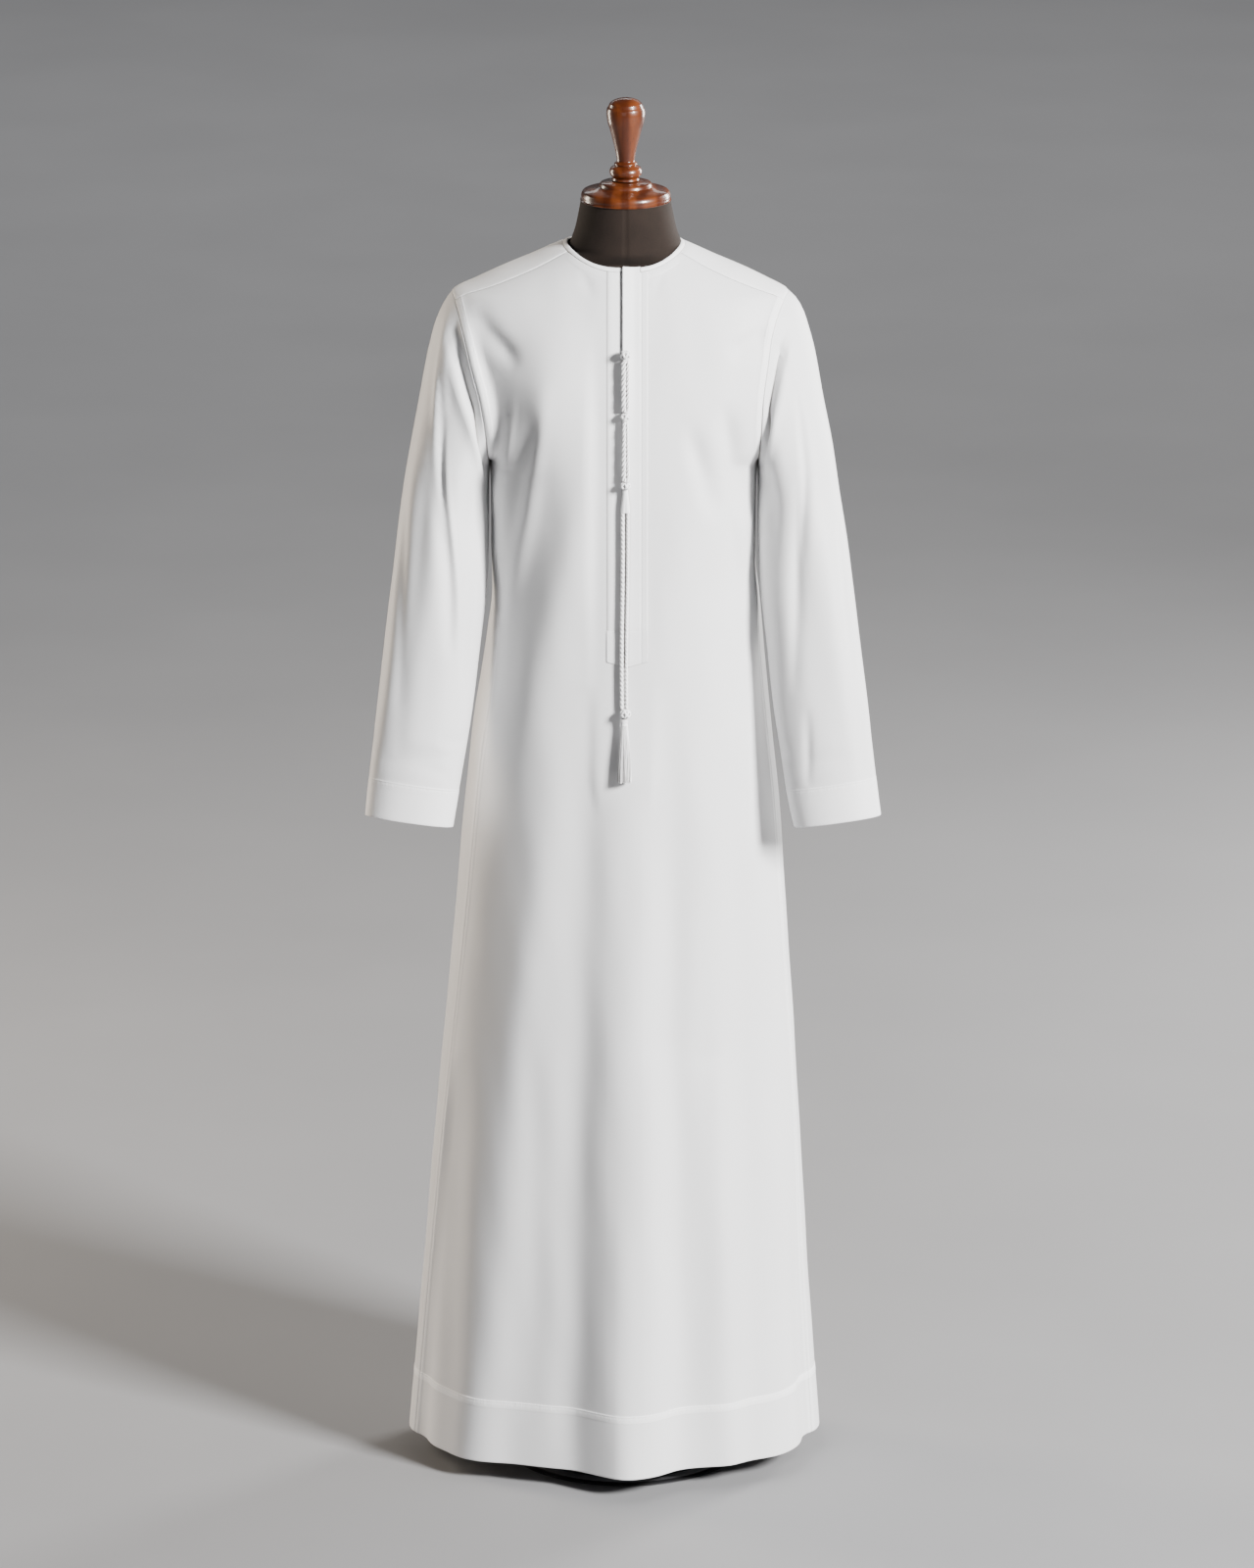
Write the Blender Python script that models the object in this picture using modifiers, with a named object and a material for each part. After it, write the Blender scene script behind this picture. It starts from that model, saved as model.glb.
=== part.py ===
"""A man's long white thobe robe, filled out on a limbless dress form with a turned wooden neck cap.

Metres, +Z up. The front faces -Y and the wearer's left is +X. The origin is the middle of the stand's
underside. All cloth lies on one body surface: flattened oval sections stacked from the hem to the neck.
A place on it is a turn (degrees, 0 at the front, 90 at the wearer's left side) and a height.
"""

import math

import bmesh
import bpy
import numpy as np
from mathutils import Vector

COLLECTION = "thobe_robe"

# Cloth.
WALL = 0.0016
HEM_WALL = 0.0028
BINDING_WALL = 0.0032
SEAM = 0.0003
HEM_Z = 0.025
HEM_DEPTH = 0.080
STEP = 0.004
UNDERARM_Z = 1.255
TIP_Z = 1.458
YOKE_ARM_Z = 1.452

# Where the body surface's sides are, how deep its sections are, and how square.
#        height  left    right  front   back   square
BODY = (
    (0.025, -0.2646, 0.2402, 0.170, 0.164, 1.85),
    (0.221, -0.2475, 0.2257, 0.164, 0.155, 1.90),
    (0.424, -0.2294, 0.2137, 0.157, 0.146, 1.95),
    (0.625, -0.2102, 0.2006, 0.150, 0.137, 2.05),
    (0.724, -0.2014, 0.1941, 0.146, 0.132, 2.10),
    (0.848, -0.1900, 0.1852, 0.141, 0.125, 2.15),
    (0.946, -0.1789, 0.1753, 0.137, 0.118, 2.20),
    (1.044, -0.1655, 0.1654, 0.134, 0.110, 2.25),
    (1.088, -0.1598, 0.1605, 0.133, 0.108, 2.32),
    (1.131, -0.1580, 0.1560, 0.132, 0.108, 2.42),
    (1.200, -0.1585, 0.1570, 0.131, 0.111, 2.55),
    (1.255, -0.1600, 0.1590, 0.129, 0.114, 2.58),
    (1.280, -0.1780, 0.1755, 0.127, 0.115, 2.42),
    (1.310, -0.1985, 0.1940, 0.124, 0.115, 2.32),
    (1.350, -0.2200, 0.2130, 0.117, 0.112, 2.22),
    (1.390, -0.2285, 0.2195, 0.107, 0.108, 2.15),
    (1.420, -0.2260, 0.2170, 0.099, 0.101, 2.10),
    (1.440, -0.2170, 0.2080, 0.092, 0.096, 2.05),
    (1.458, -0.2030, 0.1940, 0.085, 0.090, 2.00),
    (1.469, -0.1800, 0.1740, 0.080, 0.086, 2.00),
    (1.483, -0.1500, 0.1455, 0.0725, 0.080, 2.00),
    (1.497, -0.1165, 0.1125, 0.064, 0.073, 2.00),
    (1.511, -0.0845, 0.0815, 0.054, 0.064, 2.00),
    (1.518, -0.0645, 0.0645, 0.048, 0.058, 2.00),
    (1.530, -0.0300, 0.0300, 0.030, 0.035, 2.00),
)

# How far inside the silhouette the side seams run, in front of it.
#        height  left   right
SIDE_SEAM = (
    (0.025, 0.005, 0.005),
    (0.200, 0.006, 0.005),
    (0.500, 0.010, 0.005),
    (0.800, 0.014, 0.006),
    (0.950, 0.014, 0.006),
    (1.100, 0.008, 0.004),
    (1.200, 0.003, 0.002),
    (1.255, 0.000, 0.000),
)

# Where the armhole seams run, seen from the front.
#        height  left    right
ARMHOLE = (
    (1.255, -0.1600, 0.1590),
    (1.299, -0.1630, 0.1615),
    (1.338, -0.1690, 0.1635),
    (1.380, -0.1800, 0.1690),
    (1.420, -0.1900, 0.1755),
    (1.452, -0.1995, 0.1885),
    (1.458, -0.2030, 0.1940),
)

# Long soft folds of the skirt. They open from the top height down and are deepest at the hem.
#         turn  width  depth    top
SKIRT_FOLDS = (
    (4.0, 10.0, 0.022, 1.00),
    (-27.0, 12.0, -0.009, 0.90),
    (-52.0, 11.0, 0.008, 0.70),
    (-72.0, 7.0, -0.008, 0.45),
    (30.0, 11.0, -0.006, 0.85),
    (52.0, 11.0, 0.010, 0.75),
    (73.0, 7.0, -0.010, 0.50),
    (115.0, 12.0, 0.009, 0.70),
    (140.0, 12.0, -0.010, 0.85),
    (166.0, 13.0, 0.014, 0.95),
    (-168.0, 10.0, -0.009, 0.85),
    (-143.0, 13.0, 0.012, 0.80),
    (-113.0, 11.0, -0.008, 0.60),
)

# Folds that fan down and in from the armholes, and a few at the shoulders, seen from the front.
#          side  x0     z0     x1     z1    width  depth
DRAPES = (
    (-1, 0.105, 1.330, 0.135, 1.180, 0.011, -0.0045),
    (-1, 0.135, 1.320, 0.150, 1.120, 0.009, 0.0035),
    (-1, 0.152, 1.130, 0.172, 0.930, 0.010, -0.0040),
    (-1, 0.178, 1.430, 0.128, 1.395, 0.012, -0.0030),
    (1, 0.120, 1.330, 0.143, 1.200, 0.011, -0.0045),
    (1, 0.080, 1.310, 0.112, 1.210, 0.012, -0.0030),
    (1, 0.130, 1.250, 0.156, 1.050, 0.010, 0.0035),
    (1, 0.172, 1.420, 0.125, 1.400, 0.012, -0.0025),
)

# The sleeves' sides, seen from the front: the outer edge by its own height, then the inner edge.
#        height  left   right
SLEEVE_OUTER = (
    (0.840, 0.3087, 0.3063),
    (0.876, 0.3050, 0.3015),
    (0.969, 0.2941, 0.2906),
    (1.062, 0.2832, 0.2786),
    (1.145, 0.2724, 0.2678),
    (1.228, 0.2617, 0.2547),
    (1.283, 0.2522, 0.2464),
    (1.334, 0.2427, 0.2362),
    (1.391, 0.2315, 0.2254),
    (1.420, 0.2235, 0.2171),
    (1.434, 0.2180, 0.2123),
    (1.448, 0.2100, 0.2041),
    (1.458, 0.2030, 0.1940),
)
SLEEVE_INNER = (
    (0.825, 0.2045, 0.2030),
    (0.876, 0.1955, 0.1921),
    (0.922, 0.1873, 0.1850),
    (0.969, 0.1802, 0.1779),
    (1.062, 0.1683, 0.1672),
    (1.103, 0.1636, 0.1626),
    (1.145, 0.1613, 0.1598),
    (1.200, 0.1605, 0.1590),
    (1.255, 0.1600, 0.1590),
)

# Rings of a sleeve from the armhole to the cuff. They fan about the underarm before they lie square to it.
#        outer z  inner z  forward  half depth
SLEEVE_RINGS = (
    (1.4580, 1.2550, 0.000, 0.0680),
    (1.4480, 1.2500, 0.001, 0.0680),
    (1.4320, 1.2440, 0.003, 0.0675),
    (1.4080, 1.2360, 0.006, 0.0670),
    (1.3760, 1.2250, 0.010, 0.0665),
    (1.3380, 1.2100, 0.016, 0.0655),
    (1.2900, 1.1900, 0.024, 0.0640),
    (1.2350, 1.1620, 0.033, 0.0610),
    (1.1750, 1.1250, 0.043, 0.0580),
    (1.1120, 1.0780, 0.054, 0.0540),
    (1.0480, 1.0240, 0.064, 0.0500),
    (0.9840, 0.9640, 0.074, 0.0450),
    (0.9280, 0.9100, 0.084, 0.0400),
    (0.8890, 0.8730, 0.091, 0.0365),
    (0.8850, 0.8690, 0.092, 0.0360),
    (0.8395, 0.8245, 0.100, 0.0330),
)
SLEEVE_SQUARE = 2.15
SLEEVE_LEAN = 11.0
CUFF_RING = 14
SEAM_FADE = 0.30

# Folds along the sleeves: turn round the sleeve (0 outer edge, 90 front, 180 inner edge), the stretch from
# the armhole (0) to the cuff (1), and depth.
#         side  turn  width  start  end   depth
SLEEVE_FOLDS = (
    (-1, 128.0, 15.0, 0.02, 0.42, -0.0085),
    (-1, 92.0, 16.0, 0.10, 0.62, 0.0050),
    (-1, 62.0, 15.0, 0.20, 0.85, -0.0050),
    (-1, 235.0, 18.0, 0.05, 0.60, -0.0060),
    (-1, 285.0, 18.0, 0.20, 0.90, 0.0040),
    (1, 130.0, 15.0, 0.02, 0.40, -0.0085),
    (1, 98.0, 15.0, 0.22, 0.70, -0.0045),
    (1, 60.0, 16.0, 0.30, 0.95, 0.0045),
    (1, 228.0, 18.0, 0.05, 0.55, -0.0060),
    (1, 280.0, 18.0, 0.25, 0.90, 0.0040),
)

# Neck edge and the binding's lower seam, seen from above.
NECK_SIDE = 0.0668
NECK_FRONT = 0.0625
NECK_BACK = 0.0625
NECK_SQUARE = 2.3
BINDING_SIDE = 0.0050
BINDING_FRONT = 0.0032
BINDING_BACK = 0.0036
BINDING_ROUND = (0.6, 1.0, 0.35)
YOKE_NECK_X = 0.0660
YOKE_FRONT_BOW = 0.0095
YOKE_BACK_BOW = 0.0200

# Rows and columns of the panels.
HEM_TOP = HEM_Z + HEM_DEPTH
LOWER_ROWS = (
    HEM_Z, 0.065, HEM_TOP, HEM_TOP + STEP, 0.19, 0.28, 0.37, 0.46, 0.55, 0.64, 0.73, 0.82,
    0.91, 0.99, 1.0766, 1.12, 1.17, 1.215, UNDERARM_Z,
)
SLIT_ROW = LOWER_ROWS.index(1.0766)
UPPER_SHARES = (0.0, 0.03, 0.10, 0.21, 0.36, 0.53, 0.70, 0.84, 0.94, 1.0)
UPPER_ROWS = len(UPPER_SHARES) - 1
SIDE_CELLS = 12
NECK_CELLS = 3
YOKE_ACROSS = 5
BACK_NECK_CELLS = 6

# Placket: the slit's sides, the over strip's free edge, its sewn edge and its stitched end.
SLIT_LEFT = -0.0205
SLIT_RIGHT = 0.0200
OVER_EDGE = -0.0020
OVER_SEWN = 0.0280
BOX_LEFT = -0.0220
BOX_MIDDLE = -0.0120
OVER_MIDDLE = 0.0090
BOX_Z = 1.0385
BOX_POINT = 0.0065
LIFT = 0.0026
LIFT_Z = (1.250, 1.410)
LIFT_X = (-0.0020, 0.0120)

# Farokha, the cord that hangs from the placket.
FAROKHA_X = 0.0015
#          name           z       radius  half height
KNOTS = (
    ("farokha_knot_upper", 1.4040, 0.0060, 0.0060),
    ("farokha_knot_middle", 1.3340, 0.0054, 0.0052),
    ("farokha_knot_lower", 1.2540, 0.0058, 0.0050),
    ("farokha_tassel_knot", 0.9775, 0.0062, 0.0058),
)
KNOT_STRANDS = 3
KNOT_TWIST = 4.0
KNOT_WAVE = 0.06
#          name             top     bottom  top radius  bottom radius  bumps
BRAIDS = (
    ("farokha_braid_upper", 1.3977, 1.3395, 0.0050, 0.0050, 9),
    ("farokha_braid_lower", 1.3285, 1.2593, 0.0036, 0.0052, 11),
)
BRAID_SWING = 0.0007
BRAID_WAIST = 0.80
#        top     bottom  top radius  bottom radius
FLARE = (1.2487, 1.2220, 0.0032, 0.0054)
#          name                 side    radius
HANGING_CORDS = (
    ("farokha_cord_thick", -0.0031, 0.0028),
    ("farokha_cord_thin", 0.0030, 0.0022),
)
CORD_TOP = 1.2217
CORD_BOTTOM = 0.9836
CORD_POINTS = 18
CORD_DRIFT = -0.0030
CORD_CLOSING = 0.1
TASSEL_TOP = 0.9714
TASSEL_END = 0.8950
TASSEL_NECK_RADIUS = 0.0042
TASSEL_RADIUS = 0.0092
TASSEL_RINGS = (6, 12, 18)
TASSEL_X = 0.0003
TASSEL_FLAT = 0.66
TASSEL_LAY = 0.62
#               below the top  share of the neck's radius
TASSEL_HEAD = (
    (0.0000, 0.55),
    (0.0012, 1.00),
    (0.0040, 1.00),
    (0.0052, 0.86),
)
TASSEL_ROOTS = 0.0085
TASSEL_INNER = 0.22
TASSEL_OUTER = 1.02
STRAND_HALF = 0.00042
STRAND_ROWS = (0.04, 0.45, 1.0)
STRAND_UNEVEN = 0.0016

# Dress form.
FORM_X = 0.0020
#        height  at the sides  more at front and back
FORM_OFFSETS = (
    (0.840, 0.0400, 0.000),
    (0.960, 0.0280, 0.000),
    (1.090, 0.0150, 0.001),
    (1.200, 0.0115, 0.000),
    (1.300, 0.0115, 0.000),
    (1.350, 0.0110, 0.000),
    (1.430, 0.0120, -0.003),
    (1.450, 0.0065, 0.001),
    (1.465, 0.0024, 0.005),
    (1.490, 0.0023, 0.005),
    (1.506, 0.0042, 0.005),
)
FORM_BOTTOM = 0.840
FORM_ROUND = 0.012
FORM_FOOT = 0.93
FORM_ROWS = (
    0.84, 0.92, 1.02, 1.11, 1.20, 1.26, 1.305, 1.35, 1.39, 1.42, 1.442, 1.458, 1.47, 1.483, 1.495, 1.505,
)
#          height  side    front   back
FORM_NECK = (
    (1.5125, 0.0612, 0.0530, 0.0560),
    (1.5340, 0.0590, 0.0525, 0.0550),
    (1.5530, 0.0548, 0.0525, 0.0535),
    (1.5668, 0.0522, 0.0520, 0.0520),
)
FORM_SIDES = 26

# Turned pieces, as radius and height, down the outside.
CAP_PROFILE = (
    (0.0000, 1.5905), (0.0200, 1.5900), (0.0290, 1.5885), (0.0308, 1.5862), (0.0316, 1.5840),
    (0.0360, 1.5822), (0.0450, 1.5802), (0.0503, 1.5785), (0.0524, 1.5752), (0.0529, 1.5720),
    (0.0524, 1.5690), (0.0508, 1.5673), (0.0000, 1.5671),
)
FINIAL_PROFILE = (
    (0.0000, 1.6895), (0.0080, 1.6888), (0.0150, 1.6862), (0.0196, 1.6822), (0.0204, 1.6796),
    (0.0222, 1.6768), (0.0229, 1.6720), (0.0226, 1.6670), (0.0214, 1.6600), (0.0192, 1.6530),
    (0.0156, 1.6400), (0.0122, 1.6262), (0.0107, 1.6170), (0.0106, 1.6140), (0.0130, 1.6118),
    (0.0136, 1.6104), (0.0124, 1.6090), (0.0174, 1.6062), (0.0192, 1.6022), (0.0184, 1.5978),
    (0.0152, 1.5942), (0.0150, 1.5910), (0.0000, 1.5908),
)
BASE_PROFILE = (
    (0.0000, 0.0400), (0.0260, 0.0400), (0.0285, 0.0380), (0.0300, 0.0240), (0.0420, 0.0170),
    (0.0900, 0.0125), (0.1340, 0.0095), (0.1385, 0.0070), (0.1400, 0.0030), (0.1400, 0.0000),
    (0.0000, 0.0000),
)
POLE_RADIUS = 0.0125
POLE_BOTTOM = 0.0403

CLOTH = (0.86, 0.86, 0.88)
CORD = (0.85, 0.85, 0.86)
FORM_CLOTH = (0.045, 0.030, 0.022)
WOOD = (0.17, 0.055, 0.018)
METAL = (0.05, 0.05, 0.055)


# ---------------------------------------------------------------- tables and the body surface


def read(table, column, at):
    """A column of a table at a height, along a smooth curve that doesn't overshoot its rows."""
    rows = np.array(table, float)
    x = rows[:, 0]
    y = rows[:, column]
    gaps = np.diff(x)
    slopes = np.diff(y) / gaps
    bends = np.zeros(len(x))
    bends[0] = slopes[0]
    bends[-1] = slopes[-1]
    same = slopes[:-1] * slopes[1:] > 0
    shares = (gaps[:-1] + 2 * gaps[1:], 2 * gaps[:-1] + gaps[1:])
    safe = np.where(same, slopes[:-1] * slopes[1:], 1.0)
    blend = (shares[0] + shares[1]) * safe / (shares[0] * slopes[1:] + shares[1] * slopes[:-1] + 1e-30)
    bends[1:-1] = np.where(same, blend, 0.0)
    at = np.clip(np.asarray(at, float), x[0], x[-1])
    low = np.clip(np.searchsorted(x, at) - 1, 0, len(x) - 2)
    part = (at - x[low]) / gaps[low]
    rise = 3 * part**2 - 2 * part**3
    lean_low = part * (1 - part) ** 2 * bends[low] * gaps[low]
    lean_high = part**2 * (1 - part) * bends[low + 1] * gaps[low]
    return y[low] * (1 - rise) + y[low + 1] * rise + lean_low - lean_high


def fade(value):
    """0 below 0, 1 above 1 and smooth between."""
    part = np.clip(value, 0.0, 1.0)
    return part * part * (3 - 2 * part)


def unit(vectors):
    return vectors / np.maximum(np.linalg.norm(vectors, axis=-1, keepdims=True), 1e-12)


def middle(z):
    return (read(BODY, 1, z) + read(BODY, 2, z)) / 2


def half_width(z):
    return (read(BODY, 2, z) - read(BODY, 1, z)) / 2


def plain_point(turn, z):
    """The body surface without folds."""
    angle = np.radians(turn)
    power = 2.0 / read(BODY, 5, z)
    sine = np.sin(angle)
    cosine = np.cos(angle)
    depth = np.where(cosine >= 0, read(BODY, 3, z), read(BODY, 4, z))
    x = middle(z) + half_width(z) * np.sign(sine) * np.abs(sine) ** power
    y = -depth * np.sign(cosine) * np.abs(cosine) ** power
    return np.stack([x, y, z + 0 * x], axis=-1)


def turn_at(x, z, back=False):
    """The turn at which the section at a height reaches x, on the front or the back."""
    share = np.clip((x - middle(z)) / half_width(z), -1.0, 1.0)
    angle = np.degrees(np.arcsin(np.abs(share) ** (read(BODY, 5, z) / 2))) * np.sign(share)
    return np.where(share >= 0, 180 - angle, -180 - angle) if back else angle


def height_over(x, y):
    """The height of the shoulders' surface over a place seen from above."""
    x = np.asarray(x, float)
    low = np.full(x.shape, 1.30)
    high = np.full(x.shape, 1.529)
    for _ in range(40):
        z = (low + high) / 2
        power = read(BODY, 5, z)
        depth = np.where(y <= 0, read(BODY, 3, z), read(BODY, 4, z))
        reach = np.abs((x - middle(z)) / half_width(z)) ** power + np.abs(y / depth) ** power
        low = np.where(reach < 1, z, low)
        high = np.where(reach < 1, high, z)
    return (low + high) / 2


def plain_normal(turn, z):
    side = plain_point(turn + 0.4, z) - plain_point(turn - 0.4, z)
    rise = plain_point(turn, z + 0.0015) - plain_point(turn, z - 0.0015)
    return unit(np.cross(side, rise))


def fold_depth(turn, z):
    """How far the cloth stands out of the plain surface."""
    turn = (turn + 180) % 360 - 180
    depth = np.zeros(np.broadcast(turn, z).shape)
    for at, width, tall, top in SKIRT_FOLDS:
        away = (turn - at + 180) % 360 - 180
        drop = np.clip((top - z) / (top - HEM_Z), 0, 1)
        depth = depth + tall * np.exp(-((away / width) ** 2)) * drop**1.3
    points = plain_point(turn, z)
    front = np.where(np.cos(np.radians(turn)) > 0.05, 1.0, 0.75)
    for side, x0, z0, x1, z1, width, tall in DRAPES:
        start = np.array([side * x0, z0])
        along = np.array([side * x1, z1]) - start
        length = np.linalg.norm(along)
        along = along / length
        flat = points[..., [0, 2]] - start
        run = flat @ along
        off = flat[..., 0] * along[1] - flat[..., 1] * along[0]
        ends = fade(run / (0.35 * length) + 0.35) * fade((length - run) / (0.45 * length) + 0.35)
        depth = depth + tall * front * np.exp(-((off / width) ** 2)) * ends
    seam = fade((UNDERARM_Z - z) / 0.02) + fade((np.abs(90 - np.abs(turn))) / 14)
    return depth * np.clip(seam, 0, 1)


def body_point(turn, z):
    return plain_point(turn, z) + plain_normal(turn, z) * fold_depth(turn, z)[..., None]


def body_normal(turn, z):
    side = body_point(turn + 0.4, z) - body_point(turn - 0.4, z)
    rise = body_point(turn, z + 0.0015) - body_point(turn, z - 0.0015)
    return unit(np.cross(side, rise))


# ---------------------------------------------------------------- seam lines


def side_turn(side, z):
    """The turn of a side seam: it leans forward below the underarm."""
    edge = read(BODY, 1 if side < 0 else 2, z)
    inset = read(SIDE_SEAM, 1 if side < 0 else 2, z)
    return np.where(inset < 1e-6, side * 90.0, turn_at(edge - side * inset, z))


def armhole_turn(side, z, back=False):
    return turn_at(read(ARMHOLE, 1 if side < 0 else 2, z), z, back)


def neck_depth(x, side, front):
    """How far forward (or back) the neck loop through a half-width lies at x."""
    share = np.clip(1 - np.abs(x / side) ** NECK_SQUARE, 0, 1)
    return front * share ** (1 / NECK_SQUARE)


def seam_y(x, back=False):
    """The neck binding's lower seam, seen from above."""
    if back:
        return neck_depth(x, NECK_SIDE + BINDING_SIDE, NECK_BACK + BINDING_BACK)
    return -neck_depth(x, NECK_SIDE + BINDING_SIDE, NECK_FRONT + BINDING_FRONT)


def yoke_seam(side, share, back=False):
    """A shoulder seam seen from above, from the neck (share 0) to the armhole (share 1)."""
    end_x = float(read(ARMHOLE, 1 if side < 0 else 2, YOKE_ARM_Z))
    end_y = float(plain_point(armhole_turn(side, YOKE_ARM_Z, back), YOKE_ARM_Z)[..., 1])
    start_x = side * YOKE_NECK_X
    start_y = float(seam_y(start_x, back))
    bow = YOKE_BACK_BOW if back else -YOKE_FRONT_BOW
    x = start_x + (end_x - start_x) * share
    y = start_y + (end_y - start_y) * share + bow * np.sin(np.pi * share)
    return x, y


def turn_height(x, y):
    """The turn and height of the surface over a place seen from above."""
    z = height_over(x, y)
    front = turn_at(x, z)
    behind = turn_at(x, z, back=True)
    return np.where(y <= 0, front, behind), z


def panel_top(back):
    """Places and heights along a panel's top, from the wearer's right armhole to the left one."""
    shares = np.linspace(1, 0, SIDE_CELLS - NECK_CELLS + 1)
    left = yoke_seam(-1, shares, back)
    right = yoke_seam(1, shares[::-1], back)
    if back:
        inner = np.linspace(-YOKE_NECK_X, YOKE_NECK_X, BACK_NECK_CELLS + 1)[1:-1]
    else:
        near_left = np.linspace(-YOKE_NECK_X, SLIT_LEFT, NECK_CELLS + 1)[1:]
        near_right = np.linspace(SLIT_RIGHT, YOKE_NECK_X, NECK_CELLS + 1)[:-1]
        inner = np.concatenate([near_left, [OVER_EDGE], near_right])
    xs = np.concatenate([left[0], inner, right[0]])
    ys = np.concatenate([left[1], seam_y(inner, back), right[1]])
    heights = height_over(xs, ys)
    heights[[0, -1]] = YOKE_ARM_Z
    return xs, heights


def spread(start, end, cells):
    """Columns from start to end, one row each."""
    share = np.linspace(0, 1, cells + 1)
    return start[:, None] * (1 - share) + end[:, None] * share


def panel_grid(back):
    """The turns and heights of a panel's points: rows from hem to top, columns from -X to +X."""
    rows = np.array(LOWER_ROWS)
    sides = [side_turn(side, rows) for side in (-1, 1)]
    if back:
        cells = 2 * (SIDE_CELLS - NECK_CELLS) + BACK_NECK_CELLS
        low = spread(sides[0], sides[1] - 360, cells)
    else:
        near = [turn_at(x, rows) for x in (SLIT_LEFT, OVER_EDGE, SLIT_RIGHT)]
        left = spread(sides[0], near[0], SIDE_CELLS)
        right = spread(near[2], sides[1], SIDE_CELLS)
        low = np.concatenate([left, near[1][:, None], right], axis=1)
    low_z = np.repeat(rows[:, None], low.shape[1], axis=1)
    top_x, top_z = panel_top(back)
    share = np.array(UPPER_SHARES)[1:, None]
    low_x = plain_point(low[-1], UNDERARM_Z + 0 * low[-1])[:, 0]
    high_x = low_x * (1 - share) + top_x * share
    high_z = UNDERARM_Z * (1 - share) + top_z * share
    across = np.linspace(-1, 1, low.shape[1])
    for end, side in ((0, -1), (-1, 1)):
        miss = read(ARMHOLE, 1 if side < 0 else 2, high_z[:, end]) - high_x[:, end]
        high_x = high_x + miss[:, None] * np.clip(side * across, 0, 1) ** 3
    high = turn_at(high_x, high_z, back)
    if back:
        high = np.where(high > 0, high - 360, high)
    return np.concatenate([low, high]), np.concatenate([low_z, high_z])


# ---------------------------------------------------------------- solids


def material(name, colour, roughness, metallic=0.0):
    made = bpy.data.materials.new(name)
    made.use_nodes = True
    shader = made.node_tree.nodes["Principled BSDF"]
    shader.inputs["Base Color"].default_value = (*colour, 1.0)
    shader.inputs["Roughness"].default_value = roughness
    shader.inputs["Metallic"].default_value = metallic
    made.diffuse_color = (*colour, 1.0)
    return made


def add_object(name, mesh, finish):
    mesh.materials.append(material(name, *finish))
    obj = bpy.data.objects.new(name, mesh)
    bpy.data.collections[COLLECTION].objects.link(obj)
    return obj


def shade(mesh):
    mesh.shade_smooth()
    mesh.set_sharp_from_angle(angle=math.radians(40))


def wall(name, outer, inner, finish, wrap=False, cells=None):
    """A closed solid between two grids of points. A wrapped one is a tube open at its ends."""
    rows, columns = outer.shape[:2]
    spans = columns if wrap else columns - 1
    if cells is None:
        cells = np.ones((rows - 1, spans), bool)
    used = {}
    points = []

    def point(layer, row, column):
        key = (layer, row, column % columns)
        if key not in used:
            used[key] = len(points)
            points.append((outer, inner)[layer][row, column % columns])
        return used[key]

    faces = []
    for row, column in zip(*np.nonzero(cells)):
        corners = ((row, column), (row, column + 1), (row + 1, column + 1), (row + 1, column))
        faces.append([point(0, *corner) for corner in corners])
        faces.append([point(1, *corner) for corner in corners[::-1]])
        beyond = ((row - 1, column), (row, column + 1), (row + 1, column), (row, column - 1))
        for side, (next_row, next_column) in enumerate(beyond):
            if wrap:
                next_column %= spans
            inside = 0 <= next_row < rows - 1 and 0 <= next_column < spans
            if inside and cells[next_row, next_column]:
                continue
            start = corners[side]
            end = corners[(side + 1) % 4]
            faces.append([point(0, *end), point(0, *start), point(1, *start), point(1, *end)])
    mesh = bpy.data.meshes.new(name)
    mesh.from_pydata([tuple(map(float, p)) for p in points], [], faces)
    builder = bmesh.new()
    builder.from_mesh(mesh)
    bmesh.ops.recalc_face_normals(builder, faces=builder.faces)
    builder.to_mesh(mesh)
    builder.free()
    shade(mesh)
    return add_object(name, mesh, finish)


def edge_shift(points, normals, inward, stretches):
    """Moves along an edge, away from the seam: half the seam's gap, square to each stretch of it."""
    shift = np.zeros_like(points)
    for start, end in stretches:
        run = np.gradient(points[start : end + 1], axis=0)
        across = unit(np.cross(normals[start : end + 1], run))
        facing = np.sign(np.sum(across * inward[start : end + 1], axis=-1, keepdims=True))
        shift[start : end + 1] += across * facing * SEAM / 2
    return shift


# ---------------------------------------------------------------- sleeves


def armhole_loop(side):
    """Turns and heights round an armhole: up the front from the underarm, over the yoke, down the back."""
    share = np.array(UPPER_SHARES)
    z = UNDERARM_Z + (YOKE_ARM_Z - UNDERARM_Z) * share
    front = armhole_turn(side, z)
    front[0] = side * 90.0
    behind = armhole_turn(side, z, back=True)
    behind[0] = side * 90.0
    ends = [float(plain_point(t[-1], YOKE_ARM_Z)[..., 1]) for t in (front, behind)]
    y = np.linspace(ends[0], ends[1], YOKE_ACROSS + 1)[1:-1]
    arm_z = TIP_Z - (TIP_Z - YOKE_ARM_Z) * (y / ends[0]) ** 2 * np.where(y < 0, 1, (ends[0] / ends[1]) ** 2)
    x = read(ARMHOLE, 1 if side < 0 else 2, arm_z)
    over_turn, over_z = turn_height(x, y)
    turns = np.concatenate([front, over_turn, behind[:0:-1]])
    heights = np.concatenate([z, over_z, z[:0:-1]])
    return turns, heights


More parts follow.
